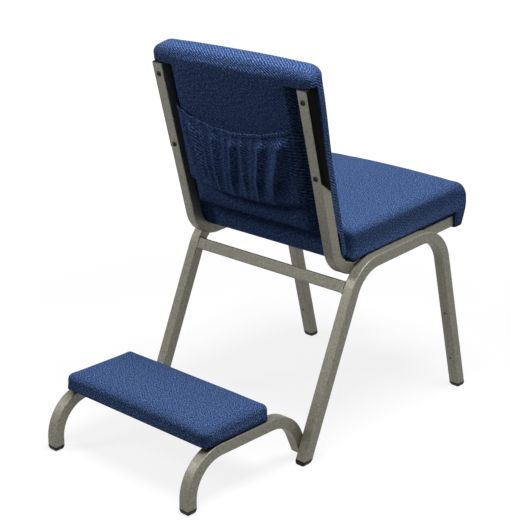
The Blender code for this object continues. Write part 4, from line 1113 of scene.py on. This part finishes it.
@dataclass
class SeatCushion:
    """The seat cushion: a crowned pad over the seat board, with a waterfall nose and a lip before the rails."""

    sizes: FrameSizes = SIZES
    width: float = 0.4362
    rear_at: float = 0.0360
    nose_at: float = 0.4505
    height: float = 0.0730
    crown: float = 0.0100
    crown_from: float = 0.35
    side_pull: float = 0.0030
    edge: float = 0.0150
    plan_edge: float = 0.0150
    nose: float = 0.0240
    waterfall: tuple[float, float] = (0.0500, 0.0460)
    waterfall_end: float = 0.985
    low_edge: float = 0.0050
    lip_at: float = 0.3941
    lip_drop: float = 0.0300
    lip_lines: float = 0.0006
    lip_step: float = 0.0005
    undercut: float = 0.0300
    undercut_power: float = 1.8
    skirt: float = 0.0065
    skirt_length: float = 0.0350
    rim: tuple[float, ...] = (0.2086, 0.2093, 0.2099, 0.2103)
    rim_clear: tuple[float, float] = (0.0012, 0.0006)
    board_low: float = 0.0001
    under_rise: float = 0.02
    held_height: float = 0.0100
    held_rise: float = 0.12
    cell: float = 0.0075
    swell: CoverSwell = CoverSwell(pressure=5.0, cap=0.0025)
    fill: float = 0.85

    def build(self) -> None:
        """Make, swell and dress the cushion.

        The rim inside the leg frames reaches down past the board's edge, so that the cover wraps the board, and
        the top falls in a quarter ellipse to the nose.
        """
        sizes = self.sizes
        half, low = self.width / 2, sizes.rail_drop + sizes.gap
        along = edge_lines(self.rear_at, self.nose_at, (self.plan_edge, self.nose), self.cell)
        along = np.sort(np.append(along, [self.lip_at - self.lip_lines, self.lip_at + self.lip_lines]))
        across = edge_lines(-half, half, (self.plan_edge, self.plan_edge), self.cell)
        rim_low, rim_high = self.rim[0] - self.rim_clear[0], self.rim[-1] + self.rim_clear[1]
        across = across[(np.abs(across) < rim_low) | (np.abs(across) > rim_high)]
        across = np.sort(np.concatenate([across, self.rim, -np.array(self.rim)]))
        lines = [across, along, edge_lines(low, self.height, (self.low_edge, self.edge), self.cell, steps=4)]
        surface = PaddedBlock(
            lines, np.array([self.plan_edge, self.plan_edge, self.low_edge]),
            np.array([self.plan_edge, self.nose, self.edge]),
        ).surface()
        a, b, c = surface.points.T
        share_a, share_b = a / half, np.clip((b - self.rear_at) / (self.nose_at - self.rear_at), 0.0, 1.0)
        rise = np.clip((c - low) / (self.height - low), 0.0, 1.0)
        arch = np.sqrt(np.sin(math.pi * share_b))
        crown = self.crown * (1.0 - share_a ** 2) * arch * smooth_step(rise, self.crown_from, 1.0)
        fore = smooth_step(b, self.lip_at - self.lip_step, self.lip_at + self.lip_step)
        lip = (low + self.lip_drop) * fore * (1.0 - rise)
        under = (rise < self.under_rise) & (np.abs(a) < sum(self.rim[-2:]) / 2)
        wrap = (c - self.board_low) * (1.0 - fore) * under
        tuck = self.undercut * smooth_step(b, self.lip_at, self.nose_at) * (1.0 - rise) ** self.undercut_power
        ahead = np.clip((b - self.nose_at + self.waterfall[0]) / self.waterfall[0], 0.0, self.waterfall_end)
        fall = self.waterfall[1] * (1.0 - np.sqrt(1.0 - ahead ** 2)) * rise
        outer = (np.abs(a) > self.rim[-2]) * (1.0 - smooth_step(b, self.rear_at, self.rear_at + self.skirt_length))
        skirt = self.skirt * outer * (1.0 - rise) ** 2
        pulled = a * (1.0 - self.side_pull / half * rise)
        surface.points = np.stack([pulled, b - tuck, c + crown - lip - wrap - fall - skirt], axis=-1)
        held = (surface.points[:, 2] < low + self.held_height) | (rise < self.held_rise)
        origin = sizes.post_corner + sizes.seat_up * sizes.half
        axes = Axes(origin, X_WAY, sizes.seat_forward, sizes.seat_up)
        surface.points = axes.place(surface.points)
        piece = surface.piece("seat_cover")
        swell_cover(piece, held, self.swell)
        finish_cover(piece, FLAT_TWILL, Body.CHAIR, self.fill, "seat_cushion")


@dataclass
class KneelerPad:
    """The kneeler pad: a flat crowned pad that wraps the kneeler board."""

    sizes: FrameSizes = SIZES
    width: float = 0.4152
    depth: float = 0.1860
    from_foot: float = 0.0365
    height: float = 0.0364
    crown: float = 0.0055
    crown_from: float = 0.3
    side_pull: float = 0.0020
    pull_over: tuple[float, float] = (0.1, 0.8)
    edge: float = 0.0130
    plan_edge: float = 0.0170
    low_edge: float = 0.0030
    low: float = 0.0001
    wrap: float = 0.0004
    under_rise: float = 0.04
    board_inset: float = 0.0047
    held_rise: float = 0.25
    cell: float = 0.0060
    swell: CoverSwell = CoverSwell(pressure=5.0, cap=0.0018)
    fill: float = 0.9

    def build(self) -> None:
        """Make, swell and dress the pad."""
        sizes = self.sizes
        half = self.width / 2
        lines = [
            edge_lines(-half, half, (self.plan_edge, self.plan_edge), self.cell),
            edge_lines(0.0, self.depth, (self.plan_edge, self.plan_edge), self.cell),
            edge_lines(self.low, self.height, (self.low_edge, self.edge), self.cell, steps=4),
        ]
        surface = PaddedBlock(
            lines, np.array([self.plan_edge, self.plan_edge, self.low_edge]),
            np.array([self.plan_edge, self.plan_edge, self.edge]),
        ).surface()
        a, b, c = surface.points.T
        share_a, share_b = a / half, np.clip(b / self.depth, 0.0, 1.0)
        rise = np.clip((c - self.low) / (self.height - self.low), 0.0, 1.0)
        swell_b, swell_a = np.sin(math.pi * share_b), np.cos(math.pi / 2 * share_a)
        crown = self.crown * np.sqrt(swell_b) * (1.0 - share_a ** 4) * smooth_step(rise, self.crown_from, 1.0)
        pull = self.side_pull * smooth_step(rise, *self.pull_over)
        pulled_a = a * (1.0 - pull / half * swell_b)
        middle = self.depth / 2
        pulled_b = middle + (b - middle) * (1.0 - pull / middle * swell_a)
        inset = np.minimum(half - np.abs(a), np.minimum(b, self.depth - b))
        wrap = (c - self.low + self.wrap) * ((rise < self.under_rise) & (inset > self.board_inset))
        surface.points = np.stack([pulled_a, pulled_b, c + crown - wrap], axis=-1)
        held = rise < self.held_rise
        origin = np.array([0.0, sizes.kneeler_foot[1] - self.from_foot, sizes.kneeler_run_height + sizes.half])
        surface.points = Axes(origin, X_WAY, -Y_WAY, Z_WAY).place(surface.points)
        piece = surface.piece("kneeler_cover")
        swell_cover(piece, held, self.swell)
        finish_cover(piece, FLAT_TWILL, Body.KNEELER, self.fill, "kneeler_pad")


def quarter_fall(inside: np.ndarray, radius: float, floor: float) -> np.ndarray:
    """Return the fall of a quarter circle that ends a surface: 0 at a radius inside its end, and floor outside."""
    near = np.clip(1.0 - inside / radius, 0.0, 1.0)
    return np.where(inside > 0.0, radius * (1.0 - np.sqrt(1.0 - near ** 2)), floor)


@dataclass
class Backrest:
    """The backrest: a slab before the posts, a roll over their tops and a padded panel between them, in one cover.

    Heights s run up the post from the corner where it meets the seat rail, and depths c run back from the post.
    """

    sizes: FrameSizes = SIZES
    low_half: float = 0.2058
    top_half: float = 0.2165
    flare_at: tuple[float, float] = (0.2000, 0.4000)
    low_at: float = 0.0165
    top_at: float = 0.4520
    bow: float = 0.0050
    front: float = 0.0488
    crown: float = 0.0080
    rear: float = 0.0125
    panel_crown: float = 0.0025
    panel_slope: tuple[float, float] = (0.1480, 0.1815)
    panel_low_at: float = 0.0856
    panel_round: float = 0.0220
    ledge_at: float = 0.4124
    ledge_round: float = 0.0050
    channel_floor: float = -0.0126
    strip_floor: float = -0.0238
    side_edge: float = 0.0300
    low_edge: float = 0.0110
    top_edge: float = 0.0260
    rear_edge: float = 0.0170
    front_edge: float = 0.0230
    core: float = -0.0200
    channel: float = 0.0025
    line_gap: float = 0.0004
    step_gap: float = 0.00005
    bow_from: float = 0.0040
    held_at: tuple[tuple[float, float], ...] = ((0.1, 0.018), (0.5, 0.008))
    cell: float = 0.0080
    swell: CoverSwell = CoverSwell(pressure=4.0, cap=0.0018)
    fill: float = 0.8

    def half_width(self, s: np.ndarray) -> np.ndarray:
        """Return half the backrest's width at a height, which flares in an S towards the top."""
        return self.low_half + (self.top_half - self.low_half) * smooth_step(s, *self.flare_at)

    def rear_depth(self, x: np.ndarray, s: np.ndarray) -> np.ndarray:
        """Return how far the rear face lies in front of its outermost plane.

        It is 0 on the panel, apart from its crown.  It falls in an S to the channel floor beside the posts, rounds
        off in a quarter circle over the post tops and at the panel's lower edge, and drops to the strip below that.
        """
        full = self.rear + self.panel_crown
        fall = self.panel_crown * np.clip(x / self.panel_slope[1], -1.0, 1.0) ** 2
        beside = (full - self.channel_floor) * smooth_step(np.abs(x), *self.panel_slope)
        over = quarter_fall(s - self.ledge_at, self.ledge_round, full - self.channel_floor)
        below = quarter_fall(s - self.panel_low_at, self.panel_round, full - self.strip_floor)
        return np.maximum(np.minimum(np.maximum(beside, fall), np.maximum(over, fall)), below)

    def build(self) -> None:
        """Make, swell and dress the backrest's cover."""
        sizes = self.sizes
        half = self.top_half
        rear = self.rear + self.panel_crown
        arc = 1.0 - np.sin(np.linspace(0.0, math.pi / 2, 8)[::-1])
        fixed = self.panel_slope[1] + self.channel
        columns = np.concatenate([
            np.linspace(0.0, self.panel_slope[0], 20), np.linspace(*self.panel_slope, 11),
            np.linspace(fixed, half - self.side_edge, 2),
            half - self.side_edge + self.side_edge * np.tan(np.linspace(0.0, math.pi / 4, 9))[1:],
        ])
        columns = np.unique(np.round(columns, 6))
        across = np.concatenate([-columns[:0:-1], columns])
        under, over = self.panel_low_at - self.line_gap, self.ledge_at - self.line_gap
        rows = np.concatenate([
            edge_lines(self.low_at, under, (self.low_edge, 0.0), self.cell)[:-5],
            [under, self.panel_low_at + self.step_gap], self.panel_low_at + self.panel_round * arc[1:],
            np.linspace(self.panel_low_at + self.panel_round, over, 41)[1:],
            [self.ledge_at + self.step_gap], self.ledge_at + self.ledge_round * arc[1:],
            self.top_at - self.top_edge + self.top_edge * np.tan(np.linspace(0.0, math.pi / 4, 8))[1:],
        ])
        rows = np.unique(np.round(rows[(rows < self.top_at + 1e-6)], 6))
        lines = [across, rows, edge_lines(-self.front, rear, (self.front_edge, self.rear_edge), self.cell)]
        surface = PaddedBlock(
            lines, np.array([self.side_edge, self.low_edge, self.front_edge]),
            np.array([self.side_edge, self.top_edge, self.rear_edge]),
        ).surface()
        a, s, c = surface.points.T
        beyond = np.maximum(np.abs(a) - fixed, 0.0) * (self.half_width(s) - fixed) / (half - fixed)
        x = np.sign(a) * (np.minimum(np.abs(a), fixed) + beyond)
        share = np.clip((s - self.low_at) / (self.top_at - self.low_at), 0.0, 1.0)
        weight = np.clip((c - self.core) / (rear - self.core), 0.0, 1.0)
        depth = self.rear_depth(x, s)
        front = np.clip((self.core - c) / (self.front + self.core), 0.0, 1.0)
        crown = self.crown * np.sin(math.pi * share) * (1.0 - (x / half) ** 2) * smooth_step(front, 0.0, 1.0)
        held = np.any([(weight > part) & (depth > deep) for part, deep in self.held_at], axis=0)
        droop = self.bow * (x / half) ** 2 * smooth_step(s, self.ledge_at - self.bow_from, self.top_at)
        surface.points = np.stack([x, s - droop, c - weight * depth - crown], axis=-1)
        walk = np.linspace(0.0, half, 200)
        steps = np.hypot(np.diff(walk), np.diff(self.rear_depth(walk, np.full(200, self.ledge_at - 0.1))))
        longer = np.concatenate([[0.0], steps.cumsum()]) - walk
        shift = np.sign(x) * np.interp(np.abs(x), walk, longer) * (weight > 0.5)
        surface.corner_uv[:, 0] += shift[np.array(surface.faces).ravel()]
        axes = Axes(sizes.post_corner, X_WAY, sizes.post_way, -sizes.post_forward)
        surface.points = axes.place(surface.points)
        piece = surface.piece("backrest_cover")
        swell_cover(piece, held, self.swell)
        finish_cover(piece, TWILL, Body.CHAIR, self.fill, "back_cushion", "back_rear_panel")


@dataclass(frozen=True)
class Gather:
    """A ridge of gathered cloth: its places across at the hem and at the seam, its width and its height."""

    top: float
    low: float
    width: float
    height: float


@dataclass
class BookPocket:
    """The gathered book pocket behind the backrest, with its elastic hem and its stitches."""

    sizes: FrameSizes = SIZES
    half: float = 0.1720
    seam_at: float = 0.1500
    seam_rise: float = 0.0060
    top_at: float = 0.3300
    sag: float = 0.0330
    bulge: float = 0.0210
    mouth: float = 0.0130
    fold_share: float = 0.08
    side_fade: float = 0.0300
    droop: float = 0.0060
    weave: tuple[float, float] = (1.12, 0.16)
    back: Backrest = field(default_factory=Backrest)
    gathers: tuple[Gather, ...] = (
        Gather(0.145, 0.118, 0.0090, 0.0046), Gather(0.116, 0.074, 0.0090, 0.0138),
        Gather(0.086, 0.066, 0.0075, 0.0080), Gather(0.048, 0.050, 0.0097, 0.0126),
        Gather(0.020, 0.030, 0.0067, 0.0046), Gather(-0.007, 0.012, 0.0090, 0.0138),
        Gather(-0.032, -0.026, 0.0083, 0.0103), Gather(-0.058, -0.040, 0.0060, 0.0046),
        Gather(-0.087, -0.056, 0.0112, 0.0149), Gather(-0.142, -0.094, 0.0210, 0.0172),
    )
    cloth: float = 0.0012
    hem_height: float = 0.0090
    hem_thickness: float = 0.0040
    stitch: float = 0.0032
    stitch_pitch: float = 0.0050
    stitch_inset: float = 0.0060
    stitch_rise: float = 0.0022
    stitch_lift: float = 0.0002
    stitch_dip: float = 0.0012
    thread: float = 0.00042
    pucker: float = 0.16
    pucker_pitch: float = 0.0085
    flat: tuple[float, float] = (0.4000, 0.1850)

    def folds(self, x: np.ndarray, rise: np.ndarray) -> np.ndarray:
        """Return the gathers' height: a sum of bell-shaped ridges that run together towards the bottom.

        A ridge's middle goes straight from its place at the hem to its place at the seam.  Its height falls with
        the distance d from that middle as exp(-(d / width) ** 1.5), and is less at the seam and under the hem.
        """
        height = np.zeros_like(x)
        for gather in self.gathers:
            middle = gather.low + (gather.top - gather.low) * rise
            width = gather.width * (0.8 + 0.4 * rise)
            height += gather.height * np.exp(-(np.abs(x - middle) / width) ** 1.5)
        return height * (0.25 + 0.75 * smooth_step(rise, 0.0, 0.45)) * (1.0 - 0.65 * smooth_step(rise, 0.85, 1.0))

    def local(self, x: np.ndarray, rise: np.ndarray) -> np.ndarray:
        """Return points of the cloth as (across, up the post, back): a round lower fold and a slack face above it.

        The depth behind the panel is a quarter ellipse near the seam, and then falls in an S towards the hem.

        Args:
            x: Places across the pocket.
            rise: Heights, from 0 at the seam to 1 at the hem's lower edge.

        Returns:
            Local points.
        """
        middle = np.clip(1.0 - (x / self.half) ** 2, 0.0, 1.0)
        seam = self.seam_at + self.seam_rise * (1.0 - middle)
        hem = self.top_at - self.hem_height - self.sag * middle
        low = np.clip(rise / self.fold_share, 0.0, 1.0)
        fold = np.sqrt(np.clip(1.0 - (1.0 - low) ** 2, 0.0, 1.0))
        lean = 1.0 - smooth_step(rise, self.fold_share, 1.0)
        full = middle ** 0.6
        side = smooth_step(self.half - np.abs(x), 0.0, self.side_fade)
        depth = fold * (full * (self.mouth + (self.bulge - self.mouth) * lean) + side * self.folds(x, rise))
        droop = self.droop * full * np.sin(math.pi * low)
        height = seam + (hem - seam) * rise - droop
        panel = self.back.rear + self.back.panel_crown - self.back.rear_depth(x, height) + self.cloth
        return np.stack([x, height, panel + depth], axis=-1)

    def axes(self) -> Axes:
        """Return the pocket's local frame on the backrest."""
        return Axes(self.sizes.post_corner, X_WAY, self.sizes.post_way, -self.sizes.post_forward)

    def cloth_piece(self) -> Piece:
        """Make the pocket's cloth on a grid of places across and heights."""
        rises = np.concatenate([np.linspace(0.0, self.fold_share, 15)[:-1], np.linspace(self.fold_share, 1.0, 58)])
        across = np.linspace(-self.half, self.half, 241)
        x, rise = np.meshgrid(across, rises)
        points = self.local(x, rise)
        faces = grid_faces(*x.shape)
        uv = np.stack([x * self.weave[0], rise * self.weave[1]], axis=-1).reshape(-1, 2)
        surface = Surface(self.axes().place(points.reshape(-1, 3)), faces.tolist(), uv[faces].reshape(-1, 2))
        piece = surface.piece("gathered_pocket")
        wall = piece.modifiers.new("cloth", "SOLIDIFY")
        wall.thickness, wall.offset = self.cloth, 0.0
        return piece

    def hem_piece(self) -> Piece:
        """Make the elastic hem: a flat oval carried along the cloth's top edge, puckered by the gathers."""
        across = np.linspace(-self.half, self.half, 361)
        edge = self.local(across, np.ones_like(across))
        angles = np.linspace(0.0, 2 * math.pi, 20, endpoint=False)
        lift = self.hem_height * (0.5 + 0.5 * np.sign(np.sin(angles)) * np.abs(np.sin(angles)) ** 0.7)
        wave = across * 2 * math.pi / self.pucker_pitch + 1.3 * np.sin(across * 61.0)
        pucker = 1.0 + self.pucker * np.sin(wave)
        out = self.hem_thickness / 2 * np.sign(np.cos(angles)) * np.abs(np.cos(angles)) ** 0.8
        rings = np.repeat(edge[:, None], len(angles), axis=1)
        rings[..., 1] += lift[None] * (0.85 + 0.15 * pucker[:, None])
        rings[..., 2] += out[None] * pucker[:, None]
        lengths = np.concatenate([[0.0], np.linalg.norm(np.diff(edge, axis=0), axis=1).cumsum()])
        body = lofted(self.axes().place(rings.reshape(-1, 3)).reshape(rings.shape))
        turn = np.linspace(0.0, 2 * self.hem_height, len(angles))
        uv = np.stack(np.meshgrid(lengths, turn, indexing="ij"), axis=-1).reshape(-1, 2)
        corners = np.concatenate([np.array(face) for face in body.faces])
        body.corner_uv = uv[corners]
        return body.piece("elastic_hem")

    def stitch_piece(self) -> Piece:
        """Make the row of stitches along the hem: short thick threads that dip into the cloth at both ends."""
        count = int(2 * self.half / self.stitch_pitch)
        starts = np.linspace(-self.half + self.stitch_inset, self.half - self.stitch_inset, count)
        along = np.linspace(-0.5, 0.5, 7)
        x = starts[:, None] + along[None] * self.stitch
        centre = self.local(x, np.ones_like(x))
        centre[..., 1] += self.stitch_rise
        centre[..., 2] += self.hem_thickness / 2 + self.stitch_lift - self.stitch_dip * (2 * along[None]) ** 4
        angles = np.linspace(0.0, 2 * math.pi, 6, endpoint=False)
        thick = self.thread * np.sqrt(np.clip(1.02 - (2 * along) ** 2, 0.02, 1.0))
        rings = np.repeat(centre[:, :, None], 6, axis=2)
        rings[..., 1] += thick[None, :, None] * np.cos(angles)
        rings[..., 2] += thick[None, :, None] * np.sin(angles)
        one = lofted(rings[0]).faces
        size = rings[0].size // 3
        faces = [[start * size + index for index in face] for start in range(count) for face in one]
        points = self.axes().place(rings.reshape(-1, 3))
        uv = np.concatenate([points[face][:, [0, 2]] for face in faces])
        return Surface(points, faces, uv).piece("hem_stitches")

    def build(self) -> None:
        pocket = dress(self.cloth_piece(), TWILL, Body.CHAIR, "book_pocket")
        hem = dress(self.hem_piece(), TWILL, Body.CHAIR, "pocket_elastic_hem")
        stitches = dress(self.stitch_piece(), THREAD, Body.CHAIR)


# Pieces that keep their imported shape


@dataclass
class PlainHardware:
    """The boards, inserts, nuts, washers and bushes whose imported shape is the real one."""

    finishes: dict[str, Finish] = field(default_factory=lambda: {
        "seat_board": PLYWOOD, "back_board": PLYWOOD, "kneeler_board": PLYWOOD, "back_insert": ZINC_PLATE,
        "pivot_weld_nut": ZINC_PLATE, "pivot_washer": NATURAL_NYLON, "pivot_bush": NATURAL_NYLON,
    })

    def build(self) -> None:
        """Give each of these solids its finish."""
        for name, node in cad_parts.items():
            for start, finish in self.finishes.items():
                if name.startswith(start):
                    node.data.materials.clear()
                    node.data.materials.append(finish.material())
                    LOG.info("%s keeps its shape in %s", name, finish.name)


# Studio


def shown_share(tree: Tree) -> Socket:
    """Return a socket that is 1 for the rays that show a background, and 0 for those that carry its light."""
    seen = add_node(tree, "ShaderNodeLightPath").outputs
    share = seen["Is Camera Ray"]
    for other in ("Is Glossy Ray", "Is Transmission Ray"):
        share = calc(tree, "MAXIMUM", share, seen[other])
    return share


@dataclass(frozen=True)
class Softbox:
    """A square area light: its name, its place, its side and its power in watts."""

    name: str
    place: tuple[float, float, float]
    side: float
    power: float


@dataclass(frozen=True)
class Studio:
    """The pale floor, the soft light and the camera."""

    target: tuple[float, float, float] = (-0.0019, 0.0322, 0.3558)
    distance: float = 2.943
    azimuth: float = math.radians(222.88)
    elevation: float = math.radians(19.38)
    roll: float = math.radians(0.25)
    lens: float = 94.63
    sensor: float = 36.0
    floor_half: float = 14.0
    sky: float = 0.04
    softboxes: tuple[Softbox, ...] = (
        Softbox("softbox", (-0.6, 0.10, 2.6), 1.2, 56.0), Softbox("rear_softbox", (1.3, 1.8, 1.9), 0.5, 15.0),
    )
    floor_colour: str = "#4A4A49"
    floor_lift: float = 0.80
    floor_reach: tuple[float, float] = (0.80, 2.20)
    floor_glow: tuple[float, float] = (1.07, 1.27)

    def camera(self) -> None:
        """Place the camera on a sphere about its target and make it the scene's."""
        sin_a, cos_a = math.sin(self.azimuth), math.cos(self.azimuth)
        sin_e, cos_e = math.sin(self.elevation), math.cos(self.elevation)
        ahead = Vector((-sin_a * cos_e, cos_a * cos_e, -sin_e))
        level = Vector((cos_a, sin_a, 0.0))
        raised = level.cross(ahead)
        right = level * math.cos(self.roll) + raised * math.sin(self.roll)
        up = raised * math.cos(self.roll) - level * math.sin(self.roll)
        lens = bpy.data.cameras.new("camera")
        lens.lens, lens.sensor_width, lens.sensor_fit = self.lens, self.sensor, "AUTO"
        made = bpy.data.objects.new("camera", lens)
        place = Vector(self.target) - ahead * self.distance
        made.matrix_world = Matrix((
            (right.x, up.x, -ahead.x, place.x), (right.y, up.y, -ahead.y, place.y),
            (right.z, up.z, -ahead.z, place.z), (0.0, 0.0, 0.0, 1.0),
        ))
        bpy.context.scene.collection.objects.link(made)
        bpy.context.scene.camera = made

    def floor(self) -> None:
        """Lay the floor, which shows the camera a lifted white and still takes the chair's shadow."""
        half = self.floor_half
        corners = np.array([[-half, -half, 0.0], [half, -half, 0.0], [half, half, 0.0], [-half, half, 0.0]])
        piece = Surface(corners, [[0, 1, 2, 3]]).piece("floor")
        paper = bpy.data.materials.new("white_paper")
        paper.use_nodes = True
        tree = paper.node_tree
        tree.nodes.clear()
        shown = shown_share(tree)
        lift = calc(tree, "MULTIPLY", shown, self.floor_lift)
        colour = mixed_colour(tree, shown, self.floor_colour, WHITE)
        matt = add_node(tree, "ShaderNodeBsdfDiffuse", inputs={"Color": colour}).outputs[0]
        place = {0: object_place(tree)}
        away = add_node(tree, "ShaderNodeVectorMath", {"operation": "LENGTH"}, place).outputs["Value"]
        strength = mapped(tree, away, self.floor_glow, self.floor_reach, "SMOOTHSTEP")
        glow = {"Color": linear(WHITE), "Strength": strength}
        white = add_node(tree, "ShaderNodeEmission", inputs=glow).outputs[0]
        mixed = add_node(tree, "ShaderNodeMixShader", inputs={0: lift, 1: matt, 2: white}).outputs[0]
        add_node(tree, "ShaderNodeOutputMaterial", inputs={"Surface": mixed})
        piece.data.materials.append(paper)

    def light(self) -> None:
        """Set a weak sky that shows as white, and aim the softboxes at the target."""
        world = bpy.data.worlds.new("sky")
        world.use_nodes = True
        bpy.context.scene.world = world
        tree = world.node_tree
        tree.nodes.clear()
        glow = {"Color": linear(WHITE), "Strength": mapped(tree, shown_share(tree), (self.sky, 1.0))}
        sky = add_node(tree, "ShaderNodeBackground", inputs=glow).outputs[0]
        add_node(tree, "ShaderNodeOutputWorld", inputs={"Surface": sky})
        for box in self.softboxes:
            lamp = bpy.data.lights.new(box.name, "AREA")
            lamp.shape, lamp.size, lamp.energy = "SQUARE", box.side, box.power
            made = bpy.data.objects.new(box.name, lamp)
            made.location = box.place
            aim = Vector(self.target) - Vector(box.place)
            made.rotation_euler = aim.to_track_quat("-Z", "Y").to_euler()
            bpy.context.scene.collection.objects.link(made)

    def build(self) -> None:
        """Set up the camera, the floor and the light."""
        bpy.context.scene.view_settings.view_transform = "Standard"
        self.camera()
        self.floor()
        self.light()


def main() -> None:
    """Build the chair's sub-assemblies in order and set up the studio."""
    logging.basicConfig(level=logging.INFO, format="%(name)s: %(message)s")
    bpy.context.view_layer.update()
    for assembly in (
        TubeFrame(), TubeEnds(), Fasteners(), PlainHardware(), SeatCushion(), Backrest(), BookPocket(), KneelerPad(),
        Studio(),
    ):
        assembly.build()


if __name__ == "__main__":
    main()
